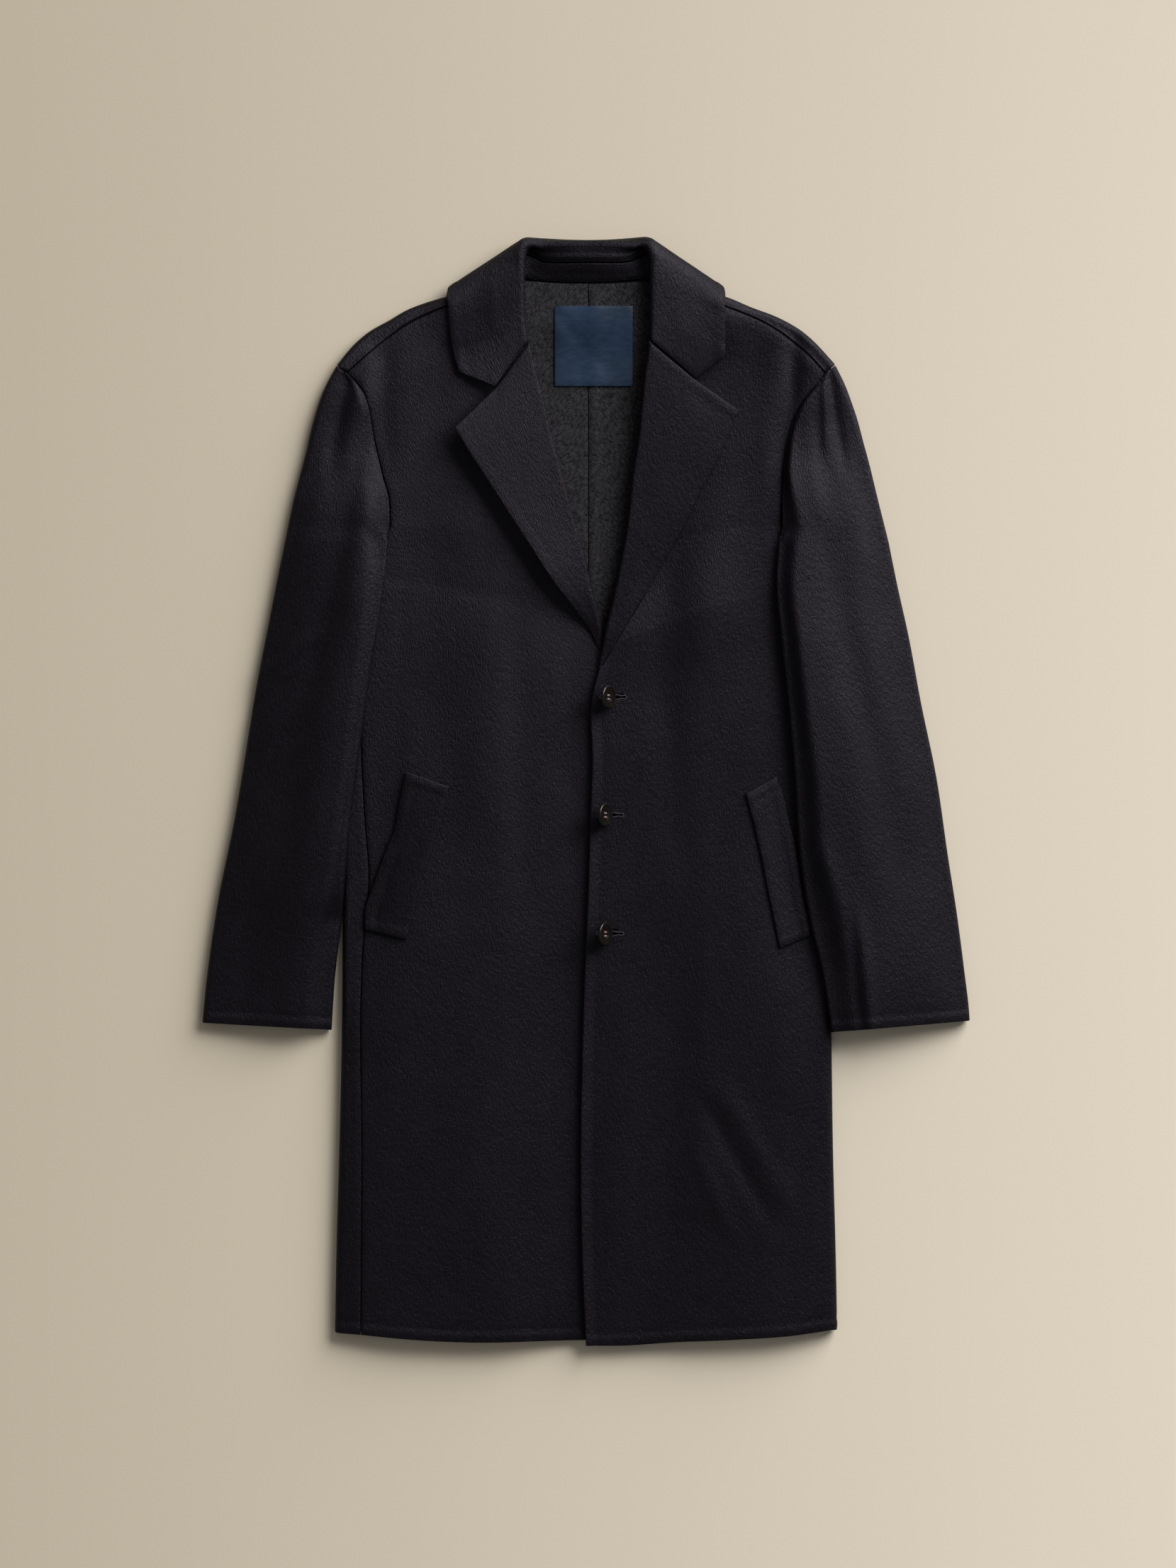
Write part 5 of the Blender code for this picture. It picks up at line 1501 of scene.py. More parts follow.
@dataclass
class Lapel:
    """Lapel with its facing, from the roll line out to its edge."""

    body: Body
    side: Side
    finishes: Finishes
    turn: Turn
    turned: float = 3.0
    clear: float = 0.7
    radius: float = 3.6
    length: float = 235.0
    pitch: float = 4.6
    even_share: float = 8 / 9
    end_rows: int = 8
    arc_points: int = 12
    outside_points: int = 30
    roll_high: float = 24.4
    tail_width: float = 0.06
    tail_rise: float = 0.4
    tail_cloth: float = 0.1

    def section(self, share: float, aim: Array | None = None) -> Array:
        """Points across the lapel.

        Args:
            share: Share of its length, from the lowest point up.
            aim: Plan point that the row heads for, where it isn't the edge.

        Returns:
            Points from the roll to the edge.
        """
        near = curve(ROLL_LINE[self.side], np.array([share]))[0]
        far = curve(LAPEL_EDGE[self.side], np.array([share]))[0]
        target = far if aim is None else aim
        across = (target - near) / np.linalg.norm(target - near)
        floor_gap = self.turned + self.clear
        spot = near + across * 8
        floor = float(self.body.over(spot[:1], spot[1:], self.side, floor_gap)[0])
        fullness = self.turn.fullness * math.sin(math.pi * share)
        top = max(floor + 1.2, lerp(self.turn.roll_low, self.roll_high, share) + fullness)
        angles = np.radians(np.linspace(-20, 90, self.arc_points))[:, None]
        plan = near + across * self.radius * (1 - np.cos(angles))
        rolled = np.column_stack([plan, top - self.radius + self.radius * np.sin(angles[:, 0])])
        edge_z = float(self.body.over(far[:1], far[1:], self.side, floor_gap)[0])
        edge_z += self.turn.edge_lift * float(ramp(share, -0.1, 0.3))
        step = even(self.outside_points)[1:]
        plan = lerp(near + across * self.radius, far, step[:, None])
        floor = self.body.over(plan[:, 0], plan[:, 1], self.side, floor_gap)
        height = np.maximum(lerp(top, edge_z, step ** 1.2), floor)
        return np.concatenate([rolled, np.column_stack([plan, height])])

    def build(self) -> None:
        """Make the lapel, with a tail that tapers into the front."""
        side = self.side
        sections = [self.section(share) for share in steps(self.length, self.pitch) * self.even_share]
        last = self.section(1.0, aim=np.array(NOTCH[side][:2]))
        last, notch = gorge(side, last, self.arc_points - 1, -0.5 * side.sign)
        shares = even(self.end_rows + 1)[:, None, None]
        tip = sections[0].copy()
        tip[:, :2] = np.array(self.turn.tip) + (tip[:, :2] - tip[0, :2]) * self.tail_width
        tail = lerp(tip[None], sections[0][None], shares[:-1])
        grid = np.concatenate([tail, np.array(sections), lerp(sections[-1][None], last[None], shares[1:])])
        columns = np.arange(grid.shape[1])
        beyond = ramp(columns, self.arc_points, self.arc_points + 8)[None]
        grid[..., 2] += 0.9 * ripple(grid[..., 0] * 1.3 + 11, grid[..., 1] * 1.2) * beyond
        free = ramp(columns, notch - 2, notch + 3)
        sewn = (columns >= self.arc_points - 1) * (1 - free)
        rows = np.arange(len(grid))
        edge = ramp(rows, 4, 18) * self.turn.edge_ridge
        grown = ramp(rows, -2, self.turn.grown_row)[:, None]
        front = self.body.top(grid[..., 0], grid[..., 1], side) + self.tail_rise
        grid[..., 2] = lerp(front, grid[..., 2], grown)
        grid = edged(grid, [Border(Rim.LAST_COLUMN, Edge.TURNED, edge),
                            Border(Rim.LAST_ROW, Edge.TURNED, free),
                            Border(Rim.LAST_ROW, Edge.SEAM, sewn)], side.sign)
        thinning = np.broadcast_to((grown - 1) * (self.turned - self.tail_cloth), grid.shape[:2])
        cloth = ClothPiece(f"lapel_{side.value}", self.turned, self.finishes.wool,
                           (f"front_{side.value}",), outside_up=side is LEFT)
        cloth.build(grid, swell=thinning)


# ---- Welts and label ----

@dataclass
class Welt:
    """Welt of a slanting pocket, with its free edge towards the side seam."""

    body: Body
    side: Side
    finishes: Finishes
    thickness: float = 3.0
    length: float = 160.0
    width: float = 42.0
    crown: float = 0.7

    def build(self) -> None:
        """Make the welt on the face of its front."""
        rows = steps(self.length, 3.4, first=True, last=True)
        columns = steps(self.width, 3.0, first=True, last=True)
        sewn, free = curve(WELT_SEWN[self.side], rows), curve(WELT_FREE[self.side], rows)
        left, right = (free, sewn) if self.side is RIGHT else (sewn, free)
        flat = lerp(left[:, None], right[:, None], columns[None, :, None])
        height = self.body.top(flat[..., 0], flat[..., 1], self.side) + self.body.seam + self.thickness
        if self.side is RIGHT:
            edge = self.body.side[self.side].distance(flat[..., 0], flat[..., 1])
            height = height + 0.3 * ramp(edge, -8, 0)
        grid = raised(flat, height)
        crown = (np.sin(math.pi * columns) ** 0.5)[None] * (np.sin(math.pi * rows) ** 0.4)[:, None]
        grid[..., 2] += self.crown * np.nan_to_num(crown)
        sewn_rim, free_rim = ((Rim.LAST_COLUMN, Rim.FIRST_COLUMN) if self.side is RIGHT
                              else (Rim.FIRST_COLUMN, Rim.LAST_COLUMN))
        ends = [Border(rim, Edge.TURNED, 0.7) for rim in (Rim.FIRST_ROW, Rim.LAST_ROW)]
        grid = edged(grid, [Border(sewn_rim, Edge.SEAM, 0.8), Border(free_rim, Edge.TURNED, 0.9), *ends])
        ClothPiece(f"welt_{self.side.value}", self.thickness, self.finishes.wool,
                   (f"front_{self.side.value}",)).build(grid)


@dataclass
class Label:
    """Plain satin label on the inside of the back."""

    body: Body
    finishes: Finishes
    width: float = 77.0
    height: float = 79.0
    middle: Pair = (7.5, 439.5)
    thickness: float = 1.0
    clear: float = 1.3
    pitch: float = 2.6

    def build(self) -> None:
        """Make the label, a little puckered by its stitches."""
        columns = steps(self.width, self.pitch, first=True, last=True) - 0.5
        rows = steps(self.height, self.pitch, first=True, last=True) - 0.5
        x, y = np.meshgrid(self.middle[0] + columns * self.width, self.middle[1] + rows * self.height)
        z = self.body.lift(x, y) + self.body.cloth + self.clear + self.thickness
        over_seam = 0.9 * bump(x, 9.0, 9.0)
        pucker = 0.7 * bump(np.hypot(x - 23, y - 460), 0, 13)
        drag = 0.5 * bump(x - 0.83 * (460 - y), -19, 7) * ramp(y, 405, 430)
        z += over_seam + pucker - drag + 0.22 * ripple(x * 2.2, y * 2.0)
        grid = edged(np.stack([x, y, z], axis=2), [Border(rim, Edge.SEAM, 0.55) for rim in Rim])
        ClothPiece("neck_label", self.thickness, self.finishes.satin, ("back_left", "back_right"),
                   slot="navy_satin", softening=0.35).build(grid)


# ---- Buttons and buttonholes ----

def tube(bm: BMesh, path: Array, radius: float, uv: bmesh.types.BMLayerItem,
         around: int, closed: bool = False) -> None:
    """Add a round cord.

    Args:
        bm: Mesh that it is added to.
        path: Points of its middle line, in mm.
        radius: Its radius, in mm.
        uv: Layer that takes the share round it and the metres along it.
        around: Number of faces round it.
        closed: Whether it is a ring; otherwise its ends are closed off.
    """
    points = np.array(path, float)
    if closed:
        points = np.concatenate([points, points[:1]])
    tangent = np.gradient(points, axis=0)
    if closed:
        tangent[0] = tangent[-1] = points[1] - points[-2]
    tangent /= np.linalg.norm(tangent, axis=1, keepdims=True)
    level = abs(tangent[:, 2]).max() < 0.9
    guide = np.array([0.0, 0.0, 1.0]) if level else np.array([0.13, 0.99, 0.05])
    side = np.cross(tangent, guide)
    side /= np.linalg.norm(side, axis=1, keepdims=True)
    up = np.cross(side, tangent)
    place = distances(points)
    count = len(points)
    made = unit_grid(bm, count, around + 1)
    for vertex, row, column in made:
        share = column / around
        turn = share * 2 * math.pi
        offset = radius * (math.cos(turn) * side[row] + math.sin(turn) * up[row])
        vertex.co = Vector(points[row] + offset) * MM
        for loop in vertex.link_loops:
            loop[uv].uv = (share, place[row] * MM)
    bmesh.ops.remove_doubles(bm, verts=[vertex for vertex, _, _ in made], dist=0.004 * MM)
    if not closed:
        edges = {edge for vertex, row, _ in made if row in (0, count - 1) and vertex.is_valid
                 for edge in vertex.link_edges if edge.is_boundary}
        bmesh.ops.holes_fill(bm, edges=list(edges), sides=0)


@dataclass
class Buttonhole:
    """Worked buttonhole that its button's shank holds open."""

    body: Body
    x: float
    y: float
    finishes: Finishes
    half_heights: tuple[Pair, ...] = (
        (-8.6, 0.0), (-8.0, 0.7), (-5.0, 1.5), (-1.0, 2.2), (4.0, 2.4), (8.0, 1.9), (11.5, 1.15),
        (13.5, 0.95), (15.2, 1.25), (16.6, 1.15), (17.5, 0.6), (17.7, 0.0))
    cord: float = 0.6
    cord_out: float = 0.35
    cord_rise: float = 0.12
    cutter_z: float = -4.0
    cutter_height: float = 40.0

    def outline(self, outwards: float = 0.0) -> Array:
        """Plan points round the hole.

        Args:
            outwards: Distance by which it is widened.

        Returns:
            The points, in order.
        """
        upper = curve([(self.x + x, self.y + h) for x, h in self.half_heights], even(40))
        lower = upper[::-1] * (1, -1) + (0, 2 * self.y)
        loop = np.concatenate([upper, lower[1:-1]])
        if outwards:
            closed = np.concatenate([loop[-1:], loop, loop[:1]])
            tangent = closed[2:] - closed[:-2]
            tangent /= np.linalg.norm(tangent, axis=1, keepdims=True)
            loop = loop + outwards * np.stack([-tangent[:, 1], tangent[:, 0]], axis=1)
        return loop

    def add_cutter(self, bm: BMesh) -> None:
        """Add a closed prism of the hole's outline.

        Args:
            bm: Mesh that it is added to.
        """
        low = [bm.verts.new(Vector((*point, self.cutter_z)) * MM) for point in self.outline()]
        face = bm.faces.new(low)
        prism = bmesh.ops.extrude_face_region(bm, geom=[face])
        top = [item for item in prism["geom"] if isinstance(item, bmesh.types.BMVert)]
        bmesh.ops.translate(bm, verts=top, vec=Vector((0, 0, self.cutter_height * MM)))

    def build(self, number: int) -> None:
        """Make the stitched edge that runs round the hole.

        Args:
            number: Number of its button.
        """
        bm = bmesh.new()
        uv = bm.loops.layers.uv.new("cord")
        loop = self.outline(self.cord_out)
        height = self.body.top(loop[:, 0], loop[:, 1], LEFT) + self.cord_rise
        tube(bm, np.column_stack([loop, height]), self.cord, uv, around=12, closed=True)
        finished(bm, f"buttonhole_{number}_stitching", [self.finishes.stitching])


@dataclass
class Button:
    """Horn button that leans in its buttonhole, with its thread and its shank."""

    body: Body
    number: int
    x: float
    y: float
    finishes: Finishes
    diameter: float = 24.0
    thickness: float = 3.4
    tilt: float = math.radians(57)
    hole_spread: float = 1.9
    hole_radius: float = 0.95
    strand_radius: float = 0.3
    strands: tuple[float, ...] = (-0.45, 0.0, 0.45)
    strand_points: int = 15
    shank_radius: float = 0.72
    wrap_radius: float = 0.34
    wrap_pitch: float = 0.62
    wrap_steps: int = 20
    profile: tuple[Pair, ...] = (
        (0, 0.50), (3.4, 0.50), (4.0, 0.62), (4.7, 1.05), (5.6, 1.22), (7.6, 1.30), (8.6, 1.42),
        (9.6, 1.66), (10.5, 1.70), (11.3, 1.46), (11.8, 0.95), (12.0, 0.35), (12.0, -0.50),
        (11.7, -1.10), (11.0, -1.52), (9.6, -1.70), (0, -1.70))

    def where(self) -> Matrix:
        """Place of the button's middle, face up, leaning over the wearer's right."""
        half = self.diameter / 2
        cloth = float(self.body.top(self.x, self.y, LEFT))
        rise = half * math.sin(self.tilt) + self.thickness / 2 * math.cos(self.tilt) + self.body.seam
        middle = Vector((self.x, self.y, cloth + rise)) * MM
        return Matrix.Translation(middle) @ Matrix.Rotation(self.tilt, 4, "Y")

    def build(self) -> None:
        """Make the button, the thread in its holes and its wound shank."""
        bm = bmesh.new()
        ring = [bm.verts.new(Vector((x, 0, z)) * MM) for x, z in self.profile]
        edges = [bm.edges.new(pair) for pair in zip(ring, ring[1:])]
        bmesh.ops.spin(bm, geom=ring + edges, cent=(0, 0, 0), axis=(0, 0, 1), angle=2 * math.pi, steps=64,
                       use_merge=True)
        bmesh.ops.remove_doubles(bm, verts=bm.verts, dist=0.002 * MM)
        bmesh.ops.recalc_face_normals(bm, faces=bm.faces)
        bmesh.ops.transform(bm, matrix=self.where(), verts=bm.verts)
        name = f"button_{self.number}"
        button = finished(bm, name + "_horn", [self.finishes.horn], name)
        cut_through(button, self.cut_holes)
        self.build_thread()
        self.build_shank()

    def hole_places(self) -> list[Pair]:
        """Places of the four thread holes from the middle."""
        spread = self.hole_spread
        return [(x * spread, y * spread) for x, y in ((-1, -1), (1, -1), (-1, 1), (1, 1))]

    def cut_holes(self, bm: BMesh) -> None:
        """Add the cutters of the thread holes.

        Args:
            bm: Mesh that they are added to.
        """
        for x, y in self.hole_places():
            spot = self.where() @ Matrix.Translation(Vector((x, y, 0)) * MM)
            bmesh.ops.create_cone(bm, cap_ends=True, segments=24, radius1=self.hole_radius * MM,
                                  radius2=self.hole_radius * MM, depth=3 * self.thickness * MM, matrix=spot)

    def build_thread(self) -> None:
        """Make the strands that cross the face between the holes."""
        bm = bmesh.new()
        uv = bm.loops.layers.uv.new("cord")
        where = np.array(self.where())
        t = even(self.strand_points)
        x = lerp(-self.hole_spread, self.hole_spread, t)
        for side in (-1, 1):
            for strand in self.strands:
                z = -1.2 + 2.1 * np.sin(math.pi * t) ** 0.45 + 0.12 * (strand == 0)
                local = np.column_stack([x, np.full(len(t), side * self.hole_spread + strand), z])
                path = local @ where[:3, :3].T + where[:3, 3] / MM
                tube(bm, path, self.strand_radius, uv, around=8)
        finished(bm, f"button_{self.number}_sewing", [self.finishes.thread])

    def build_shank(self) -> None:
        """Make the wound thread from the button's back, through the buttonhole, to the right front."""
        head = self.where() @ (Vector((0, 0, -self.thickness / 2 - self.body.seam)) * MM)
        foot_z = float(self.body.top(head.x / MM, head.y / MM, RIGHT)) + self.body.seam + 1.0
        foot = Vector((head.x - 2.0 * MM, head.y, foot_z * MM))
        length = (head - foot).length - 1.6 * MM
        turn = (head - foot).to_track_quat("Z", "Y").to_matrix().to_4x4()
        bm = bmesh.new()
        radius, end = self.shank_radius * MM, 0.4 * MM
        bmesh.ops.create_cone(bm, cap_ends=True, segments=16, radius1=radius, radius2=radius, depth=length)
        rounds = max(3, round(length / (self.wrap_pitch * MM)))
        low = Matrix.Translation((radius, 0, end - length / 2)) @ Matrix.Rotation(math.pi / 2, 4, "X")
        ring = bmesh.ops.create_circle(bm, segments=8, radius=self.wrap_radius * MM, matrix=low)
        edges = list({edge for vertex in ring["verts"] for edge in vertex.link_edges})
        count = rounds * self.wrap_steps
        bmesh.ops.spin(bm, geom=ring["verts"] + edges, cent=(0, 0, 0), axis=(0, 0, 1), steps=count,
                       dvec=Vector((0, 0, (length - 2 * end) / count)), angle=2 * math.pi * rounds)
        bmesh.ops.holes_fill(bm, edges=[edge for edge in bm.edges if edge.is_boundary], sides=0)
        bmesh.ops.recalc_face_normals(bm, faces=bm.faces)
        bmesh.ops.transform(bm, matrix=Matrix.Translation((head + foot) / 2) @ turn, verts=bm.verts)
        finished(bm, f"shank_{self.number}_wound", [self.finishes.stitching],
                 f"shank_{self.number}")


# ---- Shader maths ----

class Wire:
    """Output of a shader node that can be used in Python expressions."""

    def __init__(self, graph: Graph, socket: bpy.types.NodeSocket) -> None:
        """Wrap one output socket."""
        self.graph, self.socket = graph, socket

    def _math(self, operation: str, *operands: Wire | float) -> Wire:
        """Math node of an operation on numbers."""
        return self.graph.add("ShaderNodeMath", {"operation": operation}, dict(enumerate(operands)))

    def __add__(self, other: Wire | float) -> Wire:
        """Sum."""
        return self._math("ADD", self, other)

    def __sub__(self, other: Wire | float) -> Wire:
        """Difference."""
        return self._math("SUBTRACT", self, other)

    def __rsub__(self, other: float) -> Wire:
        """Difference from a number."""
        return self._math("SUBTRACT", other, self)

    def __mul__(self, other: Wire | float) -> Wire:
        """Product."""
        return self._math("MULTIPLY", self, other)

    __radd__, __rmul__ = __add__, __mul__

    def waved(self, turns: float) -> Wire:
        """Sine of so many turns for each unit, from 0 to 1."""
        return self._math("SINE", self * (2 * math.pi * turns)) * 0.5 + 0.5

    def between(self, low: float, high: float) -> Wire:
        """Eased share of the way from low to high."""
        return self.graph.add("ShaderNodeMapRange", {"interpolation_type": "SMOOTHSTEP"},
                              {"Value": self, "From Min": low, "From Max": high})


class Graph:
    """Node tree of one material around its Principled shader."""

    def __init__(self, name: str, **shader: float | tuple) -> None:
        """Make the material.

        Args:
            name: Name of the material.
            shader: Constant values of the shader's sockets, with underscores for spaces.
        """
        self.material = bpy.data.materials.new(name)
        self.material.use_nodes = True
        self.tree = self.material.node_tree
        self.shader = self.tree.nodes["Principled BSDF"]
        for socket, value in shader.items():
            self.shader.inputs[socket.replace("_", " ")].default_value = value

    def add(self, kind: str, settings: dict | None = None, inputs: dict | None = None,
            output: int | str = 0) -> Wire:
        """Add a node.

        Args:
            kind: Type of the node.
            settings: Its properties, set first.
            inputs: Values or wires of its sockets, by name or number.
            output: Socket that the wire leaves from.

        Returns:
            Wire from the output.
        """
        node = self.tree.nodes.new(kind)
        for key, value in (settings or {}).items():
            setattr(node, key, value)
        for key, value in (inputs or {}).items():
            self.connect(value, node.inputs[key])
        return Wire(self, node.outputs[output])

    def connect(self, value: Wire | float | tuple, socket: bpy.types.NodeSocket) -> None:
        """Link a wire to a socket, or give it a value."""
        if isinstance(value, Wire):
            self.tree.links.new(value.socket, socket)
        else:
            socket.default_value = value

    def uv(self, layer: str) -> Wire:
        """Place on the cloth or the cord, in metres."""
        return self.add("ShaderNodeUVMap", {"uv_map": layer})

    def spot(self) -> Wire:
        """Place in the coat's frame, in metres."""
        return self.add("ShaderNodeTexCoord", output="Object")

    def part(self, place: Wire, axis: str) -> Wire:
        """One part of a place."""
        return self.add("ShaderNodeSeparateXYZ", inputs={0: place}, output=axis)

    def scaled(self, place: Wire, scale: Triple | Wire) -> Wire:
        """Place or colour times a scale for each of its parts."""
        return self.add("ShaderNodeVectorMath", {"operation": "MULTIPLY"}, {0: place, 1: scale})

    def noise(self, place: Wire, scale: float, detail: float = 3.0, roughness: float = 0.55,
              distortion: float = 0.0) -> Wire:
        """Noise from 0 to 1 about 0.5."""
        return self.add("ShaderNodeTexNoise", {}, {"Vector": place, "Scale": scale, "Detail": detail,
                                                   "Roughness": roughness, "Distortion": distortion})

    def mixed(self, share: Wire, low: tuple | Wire, high: tuple | Wire) -> Wire:
        """Colour between two others.

        Args:
            share: Share of the way.
            low: Colour at 0.
            high: Colour at 1.

        Returns:
            The colour.
        """
        node = self.tree.nodes.new("ShaderNodeMix")
        node.data_type = "RGBA"
        for value, socket in ((share, node.inputs[0]), (low, node.inputs[6]), (high, node.inputs[7])):
            self.connect((*value, 1.0) if isinstance(value, tuple) else value, socket)
        return Wire(self, node.outputs[2])

    def finish(self, colour: Wire, height: Wire, distance: float, strength: float = 1.0,
               roughness: Wire | None = None) -> Material:
        """Connect what varies over the surface to the shader.

        Args:
            colour: Base colour.
            height: Height of the surface, from 0 to 1.
            distance: Depth of the relief in metres.
            strength: Strength of the bump.
            roughness: Roughness, where it varies.

        Returns:
            The material.
        """
        self.connect(colour, self.shader.inputs["Base Color"])
        relief = self.add("ShaderNodeBump", inputs={"Height": height, "Distance": distance,
                                                    "Strength": strength})
        self.connect(relief, self.shader.inputs["Normal"])
        if roughness:
            self.connect(roughness, self.shader.inputs["Roughness"])
        return self.material


# ---- Finishes ----

@dataclass(frozen=True)
class BrushedWool:
    """Near-black navy wool with a brushed nap that lies down the garment."""

    shade: Triple = (0.0003, 0.0002, 0.0005)
    light: Triple = (0.0034, 0.0029, 0.0042)
    lint: Triple = (0.050, 0.040, 0.046)

    def material(self) -> Material:
        """Make the material."""
        graph = Graph("navy_wool_brushed", Roughness=0.45, Specular_IOR_Level=0.155,
                      Specular_Tint=(0.98, 0.87, 1.08, 1))
        place = graph.uv("cloth")
        nap = graph.noise(graph.scaled(place, (1, 0.22, 1)), 820, 3, 0.62)
        curls = graph.noise(place, 330, 4, 0.62, 0.8)
        patches = graph.noise(graph.scaled(place, (1, 0.75, 1)), 62, 3, 0.6, 0.6)
        drift = graph.noise(graph.scaled(place, (1, 0.5, 1)), 15, 2, 0.5)
        tone = nap * 0.42 + curls * 0.62 + patches * 0.55 + drift * 0.25 - 0.42
        tone = tone.between(0.20, 0.82)
        colour = graph.mixed(tone, self.shade, self.light)
        specks = graph.noise(graph.scaled(place, (1, 0.45, 1)), 1150, 1, 0.4).between(0.735, 0.80)
        colour = graph.mixed(specks * 0.55, colour, self.lint)
        height = nap * 0.75 + curls * 0.42 + patches * 0.25
        return graph.finish(colour, height, 0.0016, 0.85)


@dataclass(frozen=True)
class CharcoalTwill:
    """Heathered charcoal inner face of the cloth, with broken diagonal lines."""

    shade: Triple = (0.0006, 0.0006, 0.0008)
    light: Triple = (0.036, 0.0334, 0.0378)
    lines_per_metre: float = 600.0

    def material(self) -> Material:
        """Make the material."""
        graph = Graph("charcoal_twill", Roughness=0.95, Sheen_Weight=0.05, Sheen_Roughness=0.5,
                      Specular_IOR_Level=0.12)
        place = graph.uv("cloth")
        across, along_line = (
            graph.add("ShaderNodeVectorMath", {"operation": "DOT_PRODUCT"}, {0: place, 1: axis}, "Value")
            for axis in ((0.75, 0.66, 0), (0.66, -0.75, 0)))
        soft = graph.noise(place, 90, 3, 0.55)
        line = (across + soft * 0.0016).waved(self.lines_per_metre)
        laid = graph.add("ShaderNodeCombineXYZ", inputs={"X": across, "Y": along_line * 0.42})
        dashes = graph.noise(laid, 520, 3, 0.7)
        flecks = graph.noise(place, 900, 2, 0.6)
        tone = (dashes * 1.15 + line * 0.16 + flecks * 0.5 + soft * 0.3 - 0.62).between(0.14, 0.8)
        colour = graph.mixed(tone, self.shade, self.light)
        return graph.finish(colour, dashes + flecks * 0.5, 0.0010, 0.65)


@dataclass(frozen=True)
class NavySatin:
    """Navy satin of the bare label, with a fine weave."""

    shade: Triple = (0.0034, 0.0120, 0.0290)
    light: Triple = (0.0098, 0.0260, 0.0570)

    def material(self) -> Material:
        """Make the material."""
        graph = Graph("navy_satin_woven", Specular_IOR_Level=0.35)
        place = graph.uv("cloth")
        threads = graph.noise(graph.scaled(place, (0.18, 1, 1)), 1500, 2, 0.6)
        slubs = graph.noise(graph.scaled(place, (0.35, 1, 1)), 260, 3, 0.6)
        cloud = graph.noise(place, 26, 2, 0.5)
        tone = (threads * 0.5 + slubs * 0.5 + cloud * 0.8 - 0.42).between(0.2, 0.8)
        colour = graph.mixed(tone, self.shade, self.light)
        return graph.finish(colour, threads * 0.7 + slubs * 0.4, 0.00022, 0.6, slubs * 0.25 + 0.30)


@dataclass(frozen=True)
class DarkHorn:
    """Polished dark horn with faint brown streaks."""

    shade: Triple = (0.0028, 0.0023, 0.0021)
    streak: Triple = (0.0085, 0.0058, 0.0046)

    def material(self) -> Material:
        """Make the material."""
        graph = Graph("dark_horn_polished", Specular_IOR_Level=0.26)
        place = graph.spot()
        grain = graph.noise(graph.scaled(place, (1, 0.3, 1)), 420, 3, 0.55, 1.2)
        cloud = graph.noise(place, 130, 2, 0.5)
        scuffs = graph.noise(graph.scaled(place, (0.25, 1, 1)), 2600, 2, 0.6)
        colour = graph.mixed((grain * 0.8 + cloud * 0.5 - 0.2).between(0.25, 0.75), self.shade, self.streak)
        return graph.finish(colour, grain * 0.3 + scuffs * 0.2, 0.00004, 0.5, scuffs * 0.16 + 0.10)


@dataclass(frozen=True)
class Thread:
    """Twisted sewing thread."""

    name: str
    shade: Triple
    light: Triple
    wraps_per_metre: float = 1700.0

    def material(self) -> Material:
        """Make the material."""
        graph = Graph(self.name, Roughness=0.62, Specular_IOR_Level=0.12)
        wraps = graph.part(graph.uv("cord"), "Y").waved(self.wraps_per_metre)
        worn = graph.noise(graph.spot(), 700, 2, 0.6)
        colour = graph.mixed((wraps * 0.6 + worn * 0.7 - 0.15).between(0.1, 0.85), self.shade, self.light)
        return graph.finish(colour, wraps * 0.8 + worn * 0.3, 0.00018, 0.8)


@dataclass(frozen=True)
class PaleFloor:
    """Matt beige surface that the coat lies on, with painted light: its colour grows lighter towards the
    key light and is scaled down towards the top to even out the key's falloff.
    """

    # Painted light: floor colours on the side away from the key light (far) and on the side towards it
    # (near).
    far: Triple = (0.548, 0.478, 0.369)
    near: Triple = (0.571, 0.508, 0.415)

    def material(self) -> Material:
        """Make the material."""
        graph = Graph("pale_floor", Roughness=0.9, Specular_IOR_Level=0.0)
        place = graph.spot()
        grain = graph.noise(place, 300, 3, 0.55)
        x, y = graph.part(place, "X"), graph.part(place, "Y")
        # Painted light gradient across the floor, from far to near: lighter towards the key light on the
        # right.
        share = graph.add("ShaderNodeMapRange", {}, {"Value": x + (grain - 0.5) * 0.02,
                                                     "From Min": -0.55, "From Max": 0.45})
        # Painted light: the floor colour is scaled down towards the top, most at the right, to even out the
        # key light's falloff.
        painted_falloff_gain = (1.0 - y * (x * 0.109 + 0.316)) + y * y * 0.05
        colour = graph.scaled(graph.mixed(share, self.far, self.near), painted_falloff_gain)
        return graph.finish(colour, grain, 0.0002, 0.15)


# ---- Studio ----

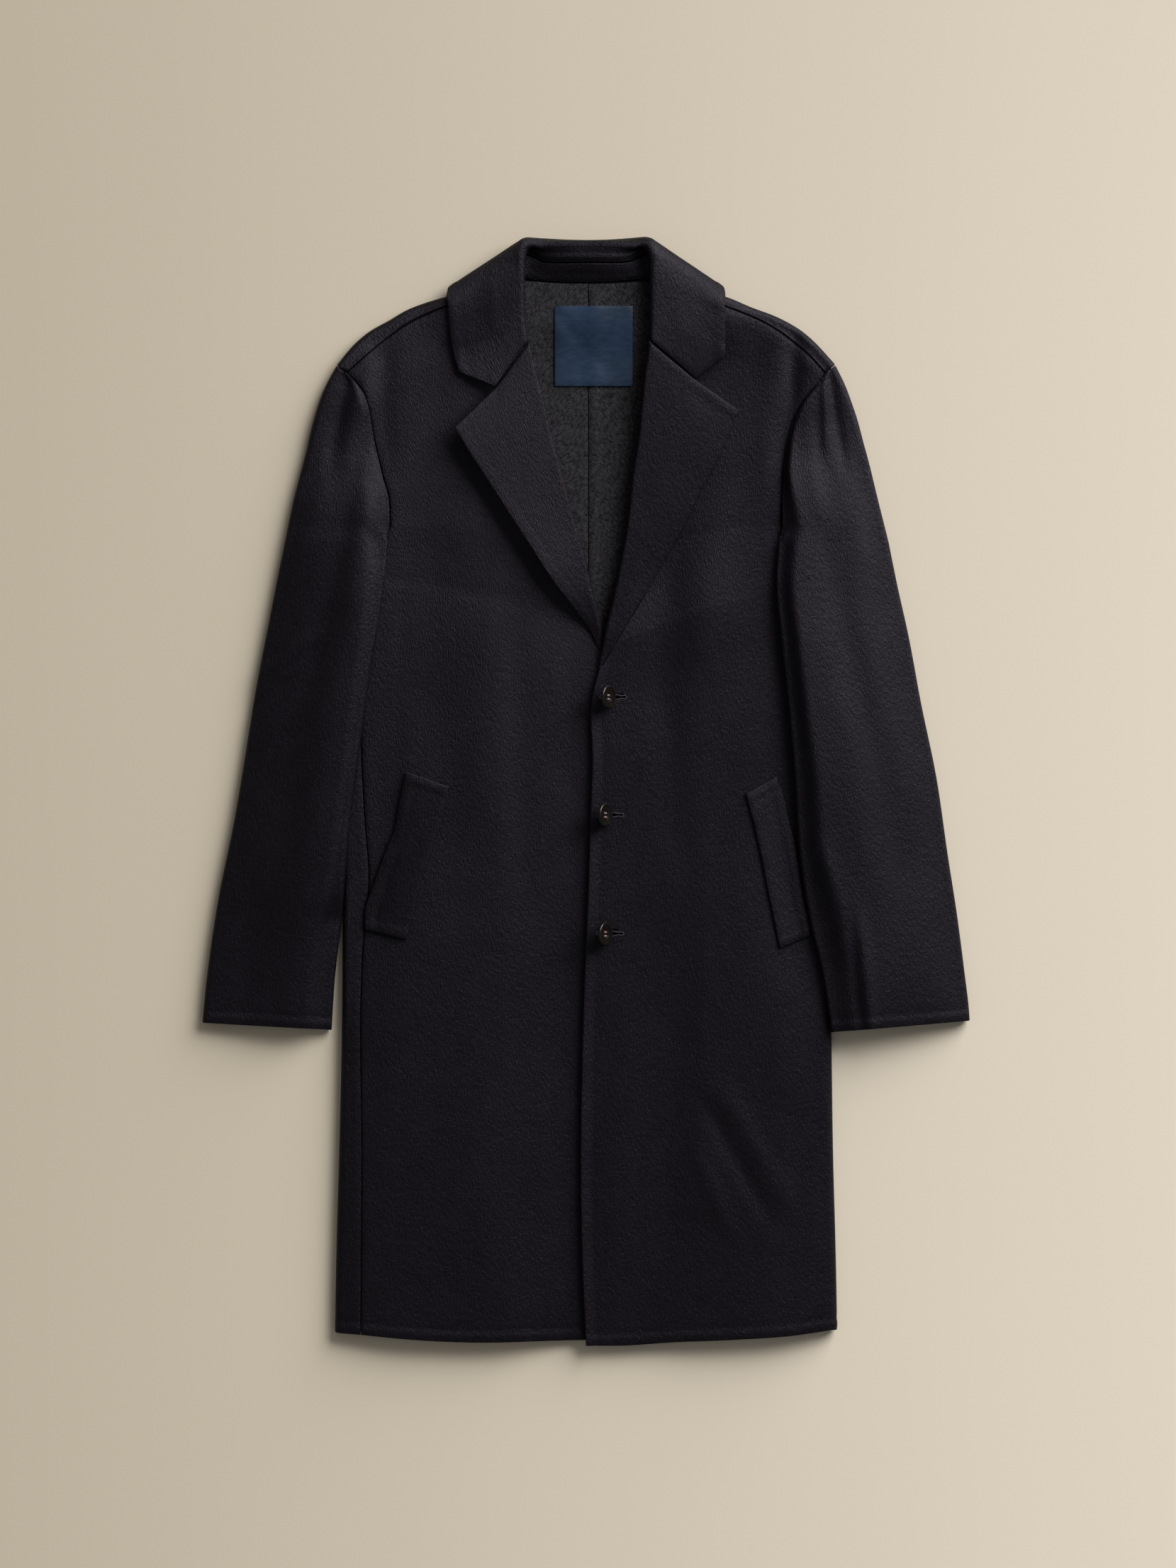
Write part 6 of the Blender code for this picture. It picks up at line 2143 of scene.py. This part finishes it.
@dataclass
class Studio:
    """Floor, lights and the camera that looks straight down."""

    camera_at: Triple = (0.0019, 0.0075, 6.0)
    lens: float = 139.5
    key_azimuth: float = 46.0
    key_elevation: float = 26.0
    key_distance: float = 4.0
    key_size: float = 3.2
    key_power: float = 380.0
    fill: float = 0.22
    floor_z: float = -0.0004

    def build(self) -> None:
        """Set the studio up."""
        scene = bpy.context.scene
        bm = bmesh.new()
        bmesh.ops.create_grid(bm, x_segments=8, y_segments=8, size=4.0)
        bmesh.ops.translate(bm, verts=bm.verts, vec=(0, 0, self.floor_z))
        floor = linked(bm, "floor", [PaleFloor().material()], rounded=False)
        floor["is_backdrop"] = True
        self.key()
        camera = bpy.data.objects.new("camera", bpy.data.cameras.new("camera"))
        camera.data.lens = self.lens
        camera.data.sensor_width = 36
        camera.location = self.camera_at
        scene.collection.objects.link(camera)
        scene.camera = camera
        world = bpy.data.worlds.new("studio")
        world.use_nodes = True
        sky = world.node_tree.nodes["Background"].inputs
        sky["Color"].default_value = (1.0, 1.0, 1.0, 1)
        sky["Strength"].default_value = self.fill
        scene.world = world
        scene.view_settings.view_transform = "Standard"

    def key(self) -> None:
        """Broad soft light from the upper right, low over the surface."""
        light = bpy.data.lights.new("key", "AREA")
        light.energy = self.key_power
        light.size = self.key_size
        lamp = bpy.data.objects.new("key", light)
        lamp.visible_camera = False
        turn = Euler((0, -math.radians(self.key_elevation), math.radians(self.key_azimuth))).to_matrix()
        lamp.location = turn @ Vector((self.key_distance, 0, 0))
        lamp.rotation_euler = lamp.location.to_track_quat("Z", "Y").to_euler()
        bpy.context.scene.collection.objects.link(lamp)


# ---- The coat ----

@dataclass
class Overcoat:
    """The whole coat: its form, its finishes and the order in which its pieces are made."""

    body: Body
    finishes: Finishes
    buttons: tuple[Pair, ...] = ((22.0, 93.0), (19.0, -23.0), (19.0, -140.0))
    turn: dict[Side, Turn] = field(default_factory=lambda: {
        RIGHT: Turn((14.5, 140.0), 14.0, 4.5, 18.0, 0.45, 17),
        LEFT: Turn((13.0, 120.0), 1.0, 0.0, 15.5, 0.9, 13),
    })

    def build(self) -> None:
        """Make every piece, from the back forward."""
        body, finishes = self.body, self.finishes
        for side in Side:
            Back(body, side, finishes).build()
            Front(body, side, finishes, buttonholes=self.buttons if side is LEFT else ()).build()
            Sleeve(body, side, finishes).build()
            Lapel(body, side, finishes, self.turn[side]).build()
            Welt(body, side, finishes).build()
        Collar(body, finishes).build()
        Label(body, finishes).build()
        for number, (x, y) in enumerate(self.buttons, 1):
            Button(body, number, x, y, finishes).build()
            Buttonhole(body, x, y, finishes).build(number)
            log.info("button %d with its buttonhole, thread and shank", number)


def main() -> None:
    """Build the studio and the coat, and log the extent of what is shown."""
    logging.basicConfig(level=logging.INFO, format="%(name)s: %(message)s")
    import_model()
    Studio().build()
    sewing = Thread("sewing_thread", (0.10, 0.062, 0.052), (0.36, 0.25, 0.21))
    twist = Thread("buttonhole_twist", (0.011, 0.0095, 0.0125), (0.052, 0.045, 0.054))
    finishes = Finishes(BrushedWool().material(), CharcoalTwill().material(), NavySatin().material(),
                        DarkHorn().material(), sewing.material(), twist.material())
    Overcoat(Body(), finishes).build()
    bpy.context.view_layer.update()
    visual = [list(corner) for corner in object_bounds()]
    for low, high, axis in zip(visual[0], visual[1], "xyz"):
        log.info("%s from %.4f to %.4f m", axis, low, high)


if __name__ == "__main__":
    main()
